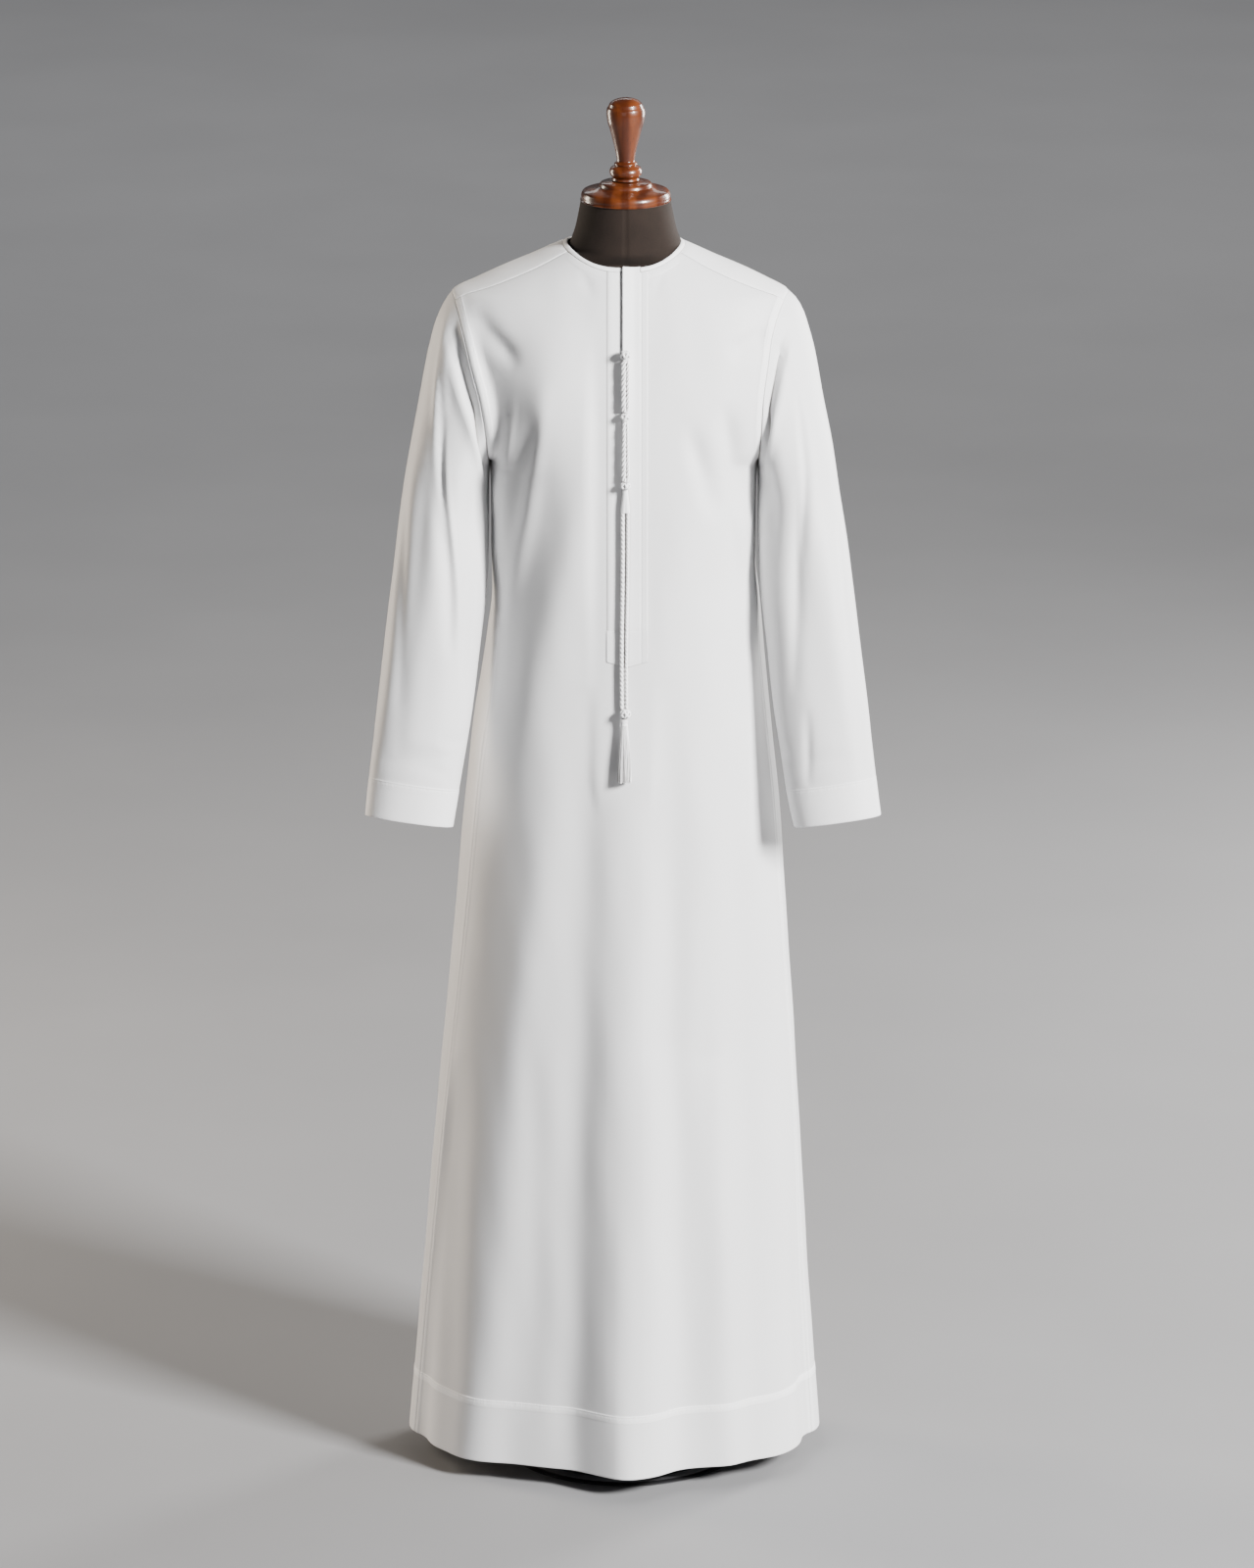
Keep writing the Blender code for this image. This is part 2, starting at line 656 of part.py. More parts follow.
def sleeve_ring(side, outer_z, inner_z, forward, depth, angles):
    column = 1 if side < 0 else 2
    outer = np.array([side * read(SLEEVE_OUTER, column, outer_z), -forward, outer_z])
    inner = np.array([side * read(SLEEVE_INNER, column, inner_z), -forward, inner_z])
    centre = (outer + inner) / 2
    reach = (outer - inner) / 2
    lean = math.radians(SLEEVE_LEAN) * fade(forward / 0.05)
    front = np.array([0.0, -math.cos(lean), math.sin(lean)]) * depth
    power = 2.0 / SLEEVE_SQUARE
    along = np.sign(np.cos(angles)) * np.abs(np.cos(angles)) ** power
    across = np.sign(np.sin(angles)) * np.abs(np.sin(angles)) ** power
    return centre + along[:, None] * reach + across[:, None] * front


def sleeve_angles(side, loop):
    """Each armhole point's turn round the sleeve: 0 at its outer edge, 90 in front, 180 at the underarm."""
    outer_z, inner_z, forward, depth = SLEEVE_RINGS[0]
    column = 1 if side < 0 else 2
    outer = np.array([side * read(SLEEVE_OUTER, column, outer_z), 0.0, outer_z])
    inner = np.array([side * read(SLEEVE_INNER, column, inner_z), 0.0, inner_z])
    reach = (outer - inner) / 2
    along = ((loop - (outer + inner) / 2) @ reach) / (reach @ reach)
    across = -loop[:, 1] / depth
    power = SLEEVE_SQUARE / 2.0
    angles = np.arctan2(np.sign(across) * np.abs(across) ** power, np.sign(along) * np.abs(along) ** power)
    return np.where(angles < 0, angles + 2 * math.pi, angles)


def sleeve_surface(side):
    """The sleeve's grid of outer points, the armhole first, and its normals."""
    turns, heights = armhole_loop(side)
    loop = body_point(turns, heights)
    angles = sleeve_angles(side, loop)
    rings = np.array(SLEEVE_RINGS)
    rows = [sleeve_ring(side, *ring, angles) for ring in rings]
    centres = np.array([row.mean(axis=0) for row in rows])
    travel = np.concatenate([[0], np.cumsum(np.linalg.norm(np.diff(centres, axis=0), axis=1))])
    travel = travel / travel[-1]
    miss = loop - rows[0]
    grid = np.array([row + miss * (1 - fade(part / SEAM_FADE)) for row, part in zip(rows, travel)])
    normals = tube_normals(grid)
    around = np.degrees(angles)
    for fold_side, turn, width, start, end, depth in SLEEVE_FOLDS:
        if fold_side != side:
            continue
        away = (around - turn + 180) % 360 - 180
        ends = fade((travel - start) / 0.12) * fade((end - travel) / 0.25 + 0.2)
        ends = ends * (travel > 0)
        grid = grid + normals * (depth * ends[:, None] * np.exp(-((away / width) ** 2)))[..., None]
    return grid, tube_normals(grid), turns, heights


def tube_normals(grid):
    """Normals of a tube of rings that face away from its middle."""
    along = np.gradient(grid, axis=0)
    around = np.roll(grid, -1, axis=1) - np.roll(grid, 1, axis=1)
    normals = unit(np.cross(around, along))
    out = grid - grid.mean(axis=1, keepdims=True)
    facing = np.sign(np.sum(normals[len(grid) // 2] * out[len(grid) // 2]))
    return normals * facing


def armhole_mitre(side):
    """For each armhole point: the way from sleeve to body, square to the seam, and the seam's normal."""
    grid, normals, turns, heights = sleeve_surface(side)
    loop = grid[0]
    body = body_normal(turns, heights)
    run = unit(np.roll(loop, -1, axis=0) - np.roll(loop, 1, axis=0))
    into_body = unit(np.cross(body, run))
    below = -3.0 * fade((UNDERARM_Z + 0.045 - loop[:, 2]) / 0.03)
    towards = np.stack([np.full(len(loop), -float(side)), np.zeros(len(loop)), below], axis=-1)
    into_body = into_body * np.sign(np.sum(into_body * towards, axis=-1, keepdims=True))
    into_body[0] = (0.0, 0.0, -1.0)
    into_sleeve = grid[1] - grid[0]
    into_sleeve = unit(into_sleeve - run * np.sum(into_sleeve * run, axis=-1, keepdims=True))
    apart = unit(into_body - into_sleeve)
    normal = unit(np.cross(run, apart))
    outward = body + normals[0]
    normal = normal * np.sign(np.sum(normal * outward, axis=-1, keepdims=True))
    return apart, normal


def make_sleeve(name, side, finish):
    grid, normals, _, _ = sleeve_surface(side)
    apart, seam_normal = armhole_mitre(side)
    normals[0] = seam_normal
    outer = grid.copy()
    outer[0] = grid[0] - apart * SEAM / 2
    thick = np.full(len(grid), WALL)
    thick[CUFF_RING:] = HEM_WALL
    inner = outer - normals * thick[:, None, None]
    return wall(name, outer, inner, finish, wrap=True)


# ---------------------------------------------------------------- panels


def loop_part(side, back):
    """The armhole points that a panel shares with the sleeve, from the underarm up."""
    count = UPPER_ROWS + 1
    total = 2 * count - 1 + YOKE_ACROSS - 1
    if back:
        return [0] + list(range(total - 1, total - count, -1))
    return list(range(count))


def make_panel(name, back, finish):
    turns, heights = panel_grid(back)
    points = body_point(turns, heights)
    normals = body_normal(turns, heights)
    shift = np.zeros_like(points)
    base = len(LOWER_ROWS) - 1
    for end, near, side in ((0, 1, -1), (-1, -2, 1)):
        apart, seam_normal = armhole_mitre(side)
        part = loop_part(side, back)
        points[base:, end] = body_point(*[v[part] for v in armhole_loop(side)])
        inward = points[:, near] - points[:, end]
        shift[:, end] += edge_shift(points[:, end], normals[:, end], inward, [(0, base)])
        shift[base:, end] += apart[part] * SEAM / 2
        normals[base:, end] = seam_normal[part]
    inward = points[-2] - points[-1]
    last = points.shape[1] - 1
    corner = SIDE_CELLS - NECK_CELLS
    corners = [(0, corner), (corner, last - corner), (last - corner, last)]
    shift[-1] += edge_shift(points[-1], normals[-1], inward, corners)
    cells = None
    if not back:
        cells = np.ones((points.shape[0] - 1, last), bool)
        cells[SLIT_ROW:, SIDE_CELLS : SIDE_CELLS + 2] = False
        for column, direction in ((SIDE_CELLS, -1.0), (SIDE_CELLS + 2, 1.0)):
            shift[SLIT_ROW:, column, 0] += direction * SEAM / 2
        shift[SLIT_ROW, SIDE_CELLS : SIDE_CELLS + 3, 2] -= SEAM / 2
    outer = points + shift
    thick = np.where(heights < HEM_TOP + STEP / 2, HEM_WALL, WALL)
    inner = outer - normals * thick[..., None]
    return wall(name, outer, inner, finish, cells=cells)


def make_yoke(name, side, finish):
    shares = np.linspace(0, 1, SIDE_CELLS - NECK_CELLS + 1)
    front = yoke_seam(side, shares)
    behind = yoke_seam(side, shares, back=True)
    across = np.linspace(0, 1, YOKE_ACROSS + 1)
    x = front[0][:, None] * (1 - across) + behind[0][:, None] * across
    y = front[1][:, None] * (1 - across) + behind[1][:, None] * across
    loop = neck_loop_over_yoke(side)
    x[0] = loop[0]
    y[0] = loop[1]
    turns, heights = turn_height(x, y)
    loop_turns, loop_heights = armhole_loop(side)
    part = list(range(UPPER_ROWS, UPPER_ROWS + YOKE_ACROSS + 1))
    turns[-1] = loop_turns[part]
    heights[-1] = loop_heights[part]
    points = body_point(turns, heights)
    normals = body_normal(turns, heights)
    apart, seam_normal = armhole_mitre(side)
    shift = np.zeros_like(points)
    count = len(shares) - 1
    for end, near in ((0, 1), (-1, -2)):
        inward = points[:, near] - points[:, end]
        shift[:, end] += edge_shift(points[:, end], normals[:, end], inward, [(0, count)])
    inward = points[1] - points[0]
    shift[0] += edge_shift(points[0], normals[0], inward, [(0, YOKE_ACROSS)])
    shift[-1] += apart[part] * SEAM / 2
    normals[-1] = seam_normal[part]
    outer = points + shift
    inner = outer - normals * WALL
    return wall(name, outer, inner, finish)


def neck_loop_over_yoke(side):
    """The neck seam between the front and back shoulder seams, seen from above."""
    wide = NECK_SIDE + BINDING_SIDE
    front = float(seam_y(YOKE_NECK_X))
    behind = float(seam_y(YOKE_NECK_X, back=True))
    y = np.linspace(front, behind, YOKE_ACROSS + 1)
    reach = np.where(y <= 0, NECK_FRONT + BINDING_FRONT, NECK_BACK + BINDING_BACK)
    x = side * wide * (1 - np.abs(y / reach) ** NECK_SQUARE) ** (1 / NECK_SQUARE)
    return x, y


def make_binding(name, finish):
    """The neck binding, from the over placket round the back to the slit."""
    near_right = np.linspace(SLIT_RIGHT, YOKE_NECK_X, NECK_CELLS + 1)
    near_left = np.concatenate([np.linspace(-YOKE_NECK_X, SLIT_LEFT, NECK_CELLS + 1), [OVER_EDGE]])
    back = np.linspace(YOKE_NECK_X, -YOKE_NECK_X, BACK_NECK_CELLS + 1)
    right = neck_loop_over_yoke(1)
    left = neck_loop_over_yoke(-1)
    x = np.concatenate([near_right[:-1], right[0], back[1:-1], left[0][::-1], near_left[1:]])
    behind = seam_y(back[1:-1], back=True)
    y = np.concatenate([seam_y(near_right[:-1]), right[1], behind, left[1][::-1], seam_y(near_left[1:])])
    rows = []
    aside = np.where(y <= 0, np.clip((np.abs(x) - SLIT_RIGHT) / (YOKE_NECK_X - SLIT_RIGHT), 0, 1), 1)
    for share in np.linspace(0, 1, len(BINDING_ROUND)):
        side = 1 - aside * share * BINDING_SIDE / (NECK_SIDE + BINDING_SIDE)
        wide = np.where(y <= 0, NECK_FRONT, NECK_BACK)
        extra = np.where(y <= 0, BINDING_FRONT, BINDING_BACK)
        deep = (wide + extra * (1 - share)) / (wide + extra)
        turns, heights = turn_height(x * side, y * deep)
        rows.append((body_point(turns, heights), body_normal(turns, heights)))
    points = np.array([row[0] for row in rows])
    normals = np.array([row[1] for row in rows])
    count = points.shape[1] - 1
    shift = np.zeros_like(points)
    shift[0] = edge_shift(points[0], normals[0], points[1] - points[0], [(0, count)])
    shift[:, 0, 0] += SEAM
    shift[:, -1, 0] -= SEAM
    outer = points + shift
    proud = (BINDING_WALL - WALL) / 2
    full = np.array(BINDING_ROUND)[:, None, None]
    inner = outer - normals * (WALL + proud * full)
    outer = outer + normals * proud * full
    return wall(name, outer, inner, finish)


def front_point(x, z):
    return body_point(turn_at(x, z), z)


def front_normal(x, z):
    return body_normal(turn_at(x, z), z)


def make_under_placket(name, finish):
    """The strip that fills the slit, level with the front panel."""
    xs = np.array([SLIT_LEFT + SEAM / 2, OVER_EDGE, SLIT_RIGHT - SEAM / 2])
    top = height_over(xs, seam_y(xs))
    share = np.array(UPPER_SHARES)[:, None]
    upper = UNDERARM_Z * (1 - share) + top * share
    lower = np.array([z for z in LOWER_ROWS if z < UNDERARM_Z][SLIT_ROW:])
    z = np.concatenate([np.repeat(lower[:, None], 3, axis=1), upper])
    z[0] += SEAM / 2
    z[-1] -= SEAM * 0.7
    x = np.repeat(xs[None], len(z), axis=0)
    outer = front_point(x, z)
    inner = outer - front_normal(x, z) * WALL
    return wall(name, outer, inner, finish)


def lift(x, z):
    """How far the over strip stands off the under strip: most at its free edge near the neck."""
    rise = fade((z - LIFT_Z[0]) / (LIFT_Z[1] - LIFT_Z[0]))
    return LIFT * rise * np.clip((LIFT_X[1] - x) / (LIFT_X[1] - LIFT_X[0]), 0, 1)


def make_over_placket(name, finish):
    """The lapped strip on the front, with its free edge lifted near the neck and its stitched end box."""
    xs = np.array([BOX_LEFT, BOX_MIDDLE, OVER_EDGE, OVER_MIDDLE, SLIT_RIGHT - 2 * SEAM, OVER_SEWN])
    edge = np.concatenate([[True] * 5, [False]])
    top_seam = height_over(xs, seam_y(xs))
    top_edge = height_over(xs, -neck_depth(xs, NECK_SIDE, NECK_FRONT))
    share = np.array(UPPER_SHARES)[:, None]
    upper = UNDERARM_Z * (1 - share) + (top_seam - WALL) * share
    lower = np.array([z for z in LOWER_ROWS if z < UNDERARM_Z][SLIT_ROW:])
    middle_x = (BOX_LEFT + OVER_SEWN) / 2
    bottom = BOX_Z - BOX_POINT * (1 - np.abs(xs - middle_x) / (OVER_SEWN - middle_x))
    top = np.where(edge, top_edge, top_seam)
    z = np.concatenate([[bottom], np.repeat(lower[:, None], len(xs), axis=1), upper, [top]])
    x = np.repeat(xs[None], len(z), axis=0)
    cells = np.ones((len(z) - 1, len(xs) - 1), bool)
    cells[1:, :2] = False
    cells[-1, -1] = False
    normals = front_normal(x, z)
    inner = front_point(x, z) + normals * (SEAM + lift(x, z))[..., None]
    outer = inner + normals * WALL
    return wall(name, outer, inner, finish, cells=cells)


# ---------------------------------------------------------------- farokha


def lay_line(z, radius, x=FAROKHA_X):
    """A point of a cord's middle that lies on the placket or the front at a height."""
    z = np.asarray(z, float)
    under = front_point(x + 0 * z, z)
    normal = front_normal(x + 0 * z, z)
    strip = WALL + SEAM + np.where(z > BOX_Z - BOX_POINT, lift(x, z), 0.0)
    line = under + normal * (strip + SEAM + radius)[..., None]
    line[..., 0] = x
    return line


def make_knot(name, z, radius, tall, finish):
    centre = lay_line(z, radius * 1.08)
    builder = bmesh.new()
    bmesh.ops.create_uvsphere(builder, u_segments=10, v_segments=7, radius=1.0)
    for vertex in builder.verts:
        turns = KNOT_STRANDS * math.atan2(vertex.co.y, vertex.co.x) + KNOT_TWIST * vertex.co.z
        wave = 1 + KNOT_WAVE * math.cos(turns)
        vertex.co.x *= radius * wave
        vertex.co.y *= radius * wave
        vertex.co.z *= tall
        vertex.co += Vector(map(float, centre))
    mesh = bpy.data.meshes.new(name)
    builder.to_mesh(mesh)
    builder.free()
    shade(mesh)
    return add_object(name, mesh, finish)


def solid_tube(name, rings, finish):
    """A closed solid through rings of points, with a flat cap at each end."""
    count = len(rings[0])
    points = np.concatenate(rings)
    faces = [list(range(count)), list(range(len(points) - count, len(points)))]
    for row in range(len(rings) - 1):
        for column in range(count):
            beside = (column + 1) % count
            faces.append([row * count + column, row * count + beside,
                          (row + 1) * count + beside, (row + 1) * count + column])
    mesh = bpy.data.meshes.new(name)
    mesh.from_pydata([tuple(map(float, p)) for p in points], [], faces)
    builder = bmesh.new()
    builder.from_mesh(mesh)
    bmesh.ops.recalc_face_normals(builder, faces=builder.faces)
    builder.to_mesh(mesh)
    builder.free()
    shade(mesh)
    return add_object(name, mesh, finish)


def level_ring(centre, radius_x, radius_y, count):
    angles = np.linspace(0, 2 * math.pi, count, endpoint=False)
    ring = np.stack([np.cos(angles) * radius_x, np.sin(angles) * radius_y, 0 * angles], axis=-1)
    return ring + centre


def make_braid(name, top, bottom, radius_top, radius_bottom, bumps, finish):
    """A plaited stretch: it swings from side to side and swells at each crossing."""
    rows = 2 * bumps + 1
    rings = []
    for row in range(rows):
        share = row / (rows - 1)
        z = top + (bottom - top) * share
        radius = radius_top + (radius_bottom - radius_top) * share
        swell = 1.0 if row % 2 else BRAID_WAIST
        swing = BRAID_SWING * math.cos(math.pi * row / 2)
        centre = lay_line(z, max(radius_top, radius_bottom)) + np.array([swing, 0, 0])
        rings.append(level_ring(centre, radius * swell, radius * swell, 8))
    return solid_tube(name, rings, finish)


def make_flare(name, finish):
    """Where the cords leave the lower knot: one bundle that widens."""
    top, bottom, radius_top, radius_bottom = FLARE
    rings = []
    for share in np.linspace(0, 1, 5):
        z = top + (bottom - top) * share
        radius = radius_top + (radius_bottom - radius_top) * fade(share)
        depth = radius_top * (1 - 0.1 * share)
        rings.append(level_ring(lay_line(z, radius_top), radius, depth, 10))
    return solid_tube(name, rings, finish)


def make_hanging_cord(name, side, radius, finish):
    """A twisted cord: a curve from the flare to the tassel knot, resting on the front."""
    curve = bpy.data.curves.new(name, "CURVE")
    curve.dimensions = "3D"
    curve.bevel_depth = radius
    curve.bevel_resolution = 2
    curve.use_fill_caps = True
    spline = curve.splines.new("POLY")
    z = np.linspace(CORD_TOP, CORD_BOTTOM, CORD_POINTS)
    share = np.linspace(0, 1, len(z))
    spline.points.add(len(z) - 1)
    for index, (height, part) in enumerate(zip(z, share)):
        drift = CORD_DRIFT * fade((part - 0.2) / 0.7) * (1 - 0.6 * part)
        x = FAROKHA_X + side * (1 - CORD_CLOSING * part) + drift
        centre = lay_line(height, radius, x)
        spline.points[index].co = (float(centre[0]), float(centre[1]), float(centre[2]), 1.0)
    obj = bpy.data.objects.new(name, curve)
    curve.materials.append(material(name, *finish))
    bpy.data.collections[COLLECTION].objects.link(obj)
    return obj


def make_tassel(name, finish):
    """A wrapped head whose underside runs out into strands that hang apart."""
    builder = bmesh.new()
    sides = TASSEL_RINGS[-1]

    def rim(radius, z):
        centre = lay_line(z, TASSEL_RADIUS * TASSEL_LAY, TASSEL_X)
        ring = level_ring(centre, radius, radius * TASSEL_FLAT, sides)
        return [builder.verts.new(tuple(map(float, point))) for point in ring]

    rings = [rim(TASSEL_NECK_RADIUS * share, TASSEL_TOP - below) for below, share in TASSEL_HEAD]
    builder.faces.new(rings[0])
    rims = []
    for share in np.linspace(TASSEL_INNER, TASSEL_OUTER, len(TASSEL_RINGS) + 1):
        rims.append(rim(TASSEL_NECK_RADIUS * share, TASSEL_TOP - TASSEL_ROOTS))
    rings.append(rims[-1])
    for upper, lower in zip(rings, rings[1:]):
        for k in range(sides):
            builder.faces.new([upper[k], lower[k], lower[(k + 1) % sides], upper[(k + 1) % sides]])
    builder.faces.new(rims[0][::-1])
    roots = []
    for band, count in enumerate(TASSEL_RINGS):
        step = sides // count
        for k in range(0, sides, step):
            inner = [rims[band][(k + j) % sides] for j in range(step + 1)]
            outer = [rims[band + 1][(k + j) % sides] for j in range(step + 1)]
            face = builder.faces.new(inner + outer[::-1])
            roots.append((face, band, (k + step / 2) * 2 * math.pi / sides, step))
    bmesh.ops.recalc_face_normals(builder, faces=builder.faces)
    for face, band, angle, step in roots:
        grow_strand(builder, face, band, angle, step)
    mesh = bpy.data.meshes.new(name)
    bmesh.ops.recalc_face_normals(builder, faces=builder.faces)
    builder.to_mesh(mesh)
    builder.free()
    shade(mesh)
    return add_object(name, mesh, finish)


def grow_strand(builder, face, band, angle, step):
    """Runs one strand down from its root face, square in section."""
    bands = len(TASSEL_RINGS)
    end = TASSEL_END + STRAND_UNEVEN * math.sin(5.0 * angle + 2.1 * band)
    top = TASSEL_TOP - TASSEL_ROOTS
    outline = list(face.verts)
    rings = []
    for share in STRAND_ROWS:
        z = top + (end - top) * share
        radius = TASSEL_NECK_RADIUS + (TASSEL_RADIUS - TASSEL_NECK_RADIUS) * fade(share * 1.1) ** 0.8
        place = radius * (0.32 + 0.60 * (band + 0.5) / bands)
        centre = lay_line(z, TASSEL_RADIUS * TASSEL_LAY, TASSEL_X)
        size = STRAND_HALF * (1 + 0.4 * share)
        ring = []
        for across, out in ((-1, -1), (1, -1), (1, 1), (-1, 1)):
            x = math.cos(angle) * (place + out * size) - math.sin(angle) * across * size
            y = math.sin(angle) * (place + out * size) + math.cos(angle) * across * size
            ring.append(builder.verts.new((float(centre[0]) + x, float(centre[1]) + TASSEL_FLAT * y, z)))
        rings.append(ring)
    builder.faces.remove(face)
    first = rings[0]
    inner_row = outline[: step + 1]
    outer_row = outline[step + 1 :][::-1]
    builder.faces.new(inner_row + [first[1], first[0]])
    builder.faces.new([inner_row[-1], outer_row[-1], first[2], first[1]])
    builder.faces.new(outer_row[::-1] + [first[3], first[2]])
    builder.faces.new([outer_row[0], inner_row[0], first[0], first[3]])
    for upper, lower in zip(rings, rings[1:]):
        for k in range(4):
            builder.faces.new([upper[k], upper[(k + 1) % 4], lower[(k + 1) % 4], lower[k]])
    builder.faces.new(rings[-1])


# ---------------------------------------------------------------- dress form


def make_torso(name, finish):
    """The form's body and neck: the robe's own surface, smaller, closed at hip and neck."""
    turns = np.linspace(-180, 180, FORM_SIDES, endpoint=False)
    rings = []
    for z in FORM_ROWS:
        heights = np.full(len(turns), z)
        facing = np.cos(np.radians(turns)) ** 2
        offset = read(FORM_OFFSETS, 1, heights) + read(FORM_OFFSETS, 2, heights) * facing
        ring = plain_point(turns, heights) - plain_normal(turns, heights) * offset[:, None]
        rings.append(ring)
    bottom = rings[0].mean(axis=0)
    rings[0][:, 2] = FORM_BOTTOM
    foot = bottom - np.array([0, 0, FORM_ROUND])
    rings.insert(0, foot + (rings[0] - bottom) * FORM_FOOT)
    angles = np.radians(turns)
    for z, side, front, behind in FORM_NECK:
        depth = np.where(np.cos(angles) >= 0, front, behind)
        ring = np.stack([FORM_X + side * np.sin(angles), -depth * np.cos(angles), z + 0 * angles], axis=-1)
        rings.append(ring)
    return solid_tube(name, rings, finish)


def make_turned(name, profile, x, steps, finish):
    mesh = bpy.data.meshes.new(name)
    points = [(radius, 0.0, z) for radius, z in profile]
    mesh.from_pydata(points, [(k, k + 1) for k in range(len(points) - 1)], [])
    obj = add_object(name, mesh, finish)
    obj.location.x = x
    screw = obj.modifiers.new("turn", "SCREW")
    screw.steps = steps
    screw.render_steps = steps
    screw.use_merge_vertices = True
    screw.merge_threshold = 0.00005
    screw.use_smooth_shade = True
    return obj


def make_pole(name, finish):
    top = FORM_BOTTOM - FORM_ROUND - SEAM
    builder = bmesh.new()
    bmesh.ops.create_cone(
        builder, cap_ends=True, segments=20, radius1=POLE_RADIUS, radius2=POLE_RADIUS, depth=top - POLE_BOTTOM
    )
    mesh = bpy.data.meshes.new(name)
    builder.to_mesh(mesh)
    builder.free()
    shade(mesh)
    obj = add_object(name, mesh, finish)
    obj.location.z = (top + POLE_BOTTOM) / 2
    return obj


def main():
    for obj in list(bpy.data.objects):
        bpy.data.objects.remove(obj)
    parts = bpy.data.collections.new(COLLECTION)
    bpy.context.scene.collection.children.link(parts)
    cloth = (CLOTH, 0.55)
    cord = (CORD, 0.60)
    make_panel("front_panel", False, cloth)
    make_panel("back_panel", True, cloth)
    make_yoke("yoke_right", -1, cloth)
    make_yoke("yoke_left", 1, cloth)
    make_sleeve("sleeve_right", -1, cloth)
    make_sleeve("sleeve_left", 1, cloth)
    make_binding("neck_binding", cloth)
    make_under_placket("placket_under", cloth)
    make_over_placket("placket_over", cloth)
    for name, z, radius, tall in KNOTS:
        make_knot(name, z, radius, tall, cord)
    for name, top, bottom, radius_top, radius_bottom, bumps in BRAIDS:
        make_braid(name, top, bottom, radius_top, radius_bottom, bumps, cord)
    make_flare("farokha_flare", cord)
    for name, side, radius in HANGING_CORDS:
        make_hanging_cord(name, side, radius, cord)
    make_tassel("farokha_tassel", cord)
    make_torso("form_torso", (FORM_CLOTH, 0.9))
    make_turned("form_neck_cap", CAP_PROFILE, FORM_X, 26, (WOOD, 0.25))
    make_turned("form_finial", FINIAL_PROFILE, FORM_X, 16, (WOOD, 0.22))
    make_pole("stand_pole", (METAL, 0.4, 0.8))
    make_turned("stand_base", BASE_PROFILE, 0.0, 24, (METAL, 0.45, 0.6))


main()
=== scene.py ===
"""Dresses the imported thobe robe: fine cloth, seams and stitching, the plaited farokha and the dress form.

Metres, +Z up, the front faces -Y and the wearer's left is +X. The tables and the surface functions are
those of the part's source, so that each piece lies where its solid is. A table's rows are whole numbers,
and what its columns are divided by follows them.
"""

import math

import bpy
import numpy as np
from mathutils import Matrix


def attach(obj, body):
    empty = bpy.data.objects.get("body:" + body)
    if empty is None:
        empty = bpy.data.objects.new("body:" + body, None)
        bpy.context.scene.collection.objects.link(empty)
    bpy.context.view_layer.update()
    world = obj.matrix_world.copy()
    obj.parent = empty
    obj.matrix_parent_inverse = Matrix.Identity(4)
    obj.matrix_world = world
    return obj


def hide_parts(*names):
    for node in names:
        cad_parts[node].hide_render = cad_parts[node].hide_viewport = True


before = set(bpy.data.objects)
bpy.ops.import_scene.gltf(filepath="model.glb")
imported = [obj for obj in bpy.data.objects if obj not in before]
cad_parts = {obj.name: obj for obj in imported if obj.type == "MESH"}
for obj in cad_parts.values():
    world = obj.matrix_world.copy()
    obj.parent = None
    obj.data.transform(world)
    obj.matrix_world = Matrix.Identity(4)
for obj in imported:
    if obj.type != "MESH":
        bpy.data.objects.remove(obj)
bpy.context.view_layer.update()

# ---------------------------------------------------------------- camera

CAMERA_FOCAL = 190.69
CAMERA_SENSOR = 36.0
CAMERA_DISTANCE = 10.0
CAMERA_TILT = math.radians(16.66)
CAMERA_TARGET = (0.0035, 0.0, 0.848)

camera_data = bpy.data.cameras.new("camera")
camera_data.sensor_fit = "VERTICAL"
camera_data.sensor_height = CAMERA_SENSOR
camera_data.sensor_width = CAMERA_SENSOR
camera_data.lens = CAMERA_FOCAL
camera_data.clip_end = 100.0
camera = bpy.data.objects.new("camera", camera_data)
camera.location = (
    CAMERA_TARGET[0],
    -CAMERA_DISTANCE * math.cos(CAMERA_TILT),
    CAMERA_TARGET[2] + CAMERA_DISTANCE * math.sin(CAMERA_TILT),
)
camera.rotation_euler = (math.pi / 2 - CAMERA_TILT, 0.0, 0.0)
bpy.context.scene.collection.objects.link(camera)
bpy.context.scene.camera = camera

# ---------------------------------------------------------------- sizes


def table(text, *units):
    return np.array(text.split(), float).reshape(-1, len(units)) / units


# Cloth.
WALL = 0.0016
HEM_WALL = 0.0028
BINDING_WALL = 0.0032
SEAM = 0.0003
HEM_Z = 0.025
HEM_TOP = HEM_Z + 0.080
SLIT_Z = 1.0766
UNDERARM_Z = 1.255
SHOULDER_LOW = 1.30
SHOULDER_HIGH = 1.529
TIP_Z = 1.458
YOKE_ARM_Z = 1.452

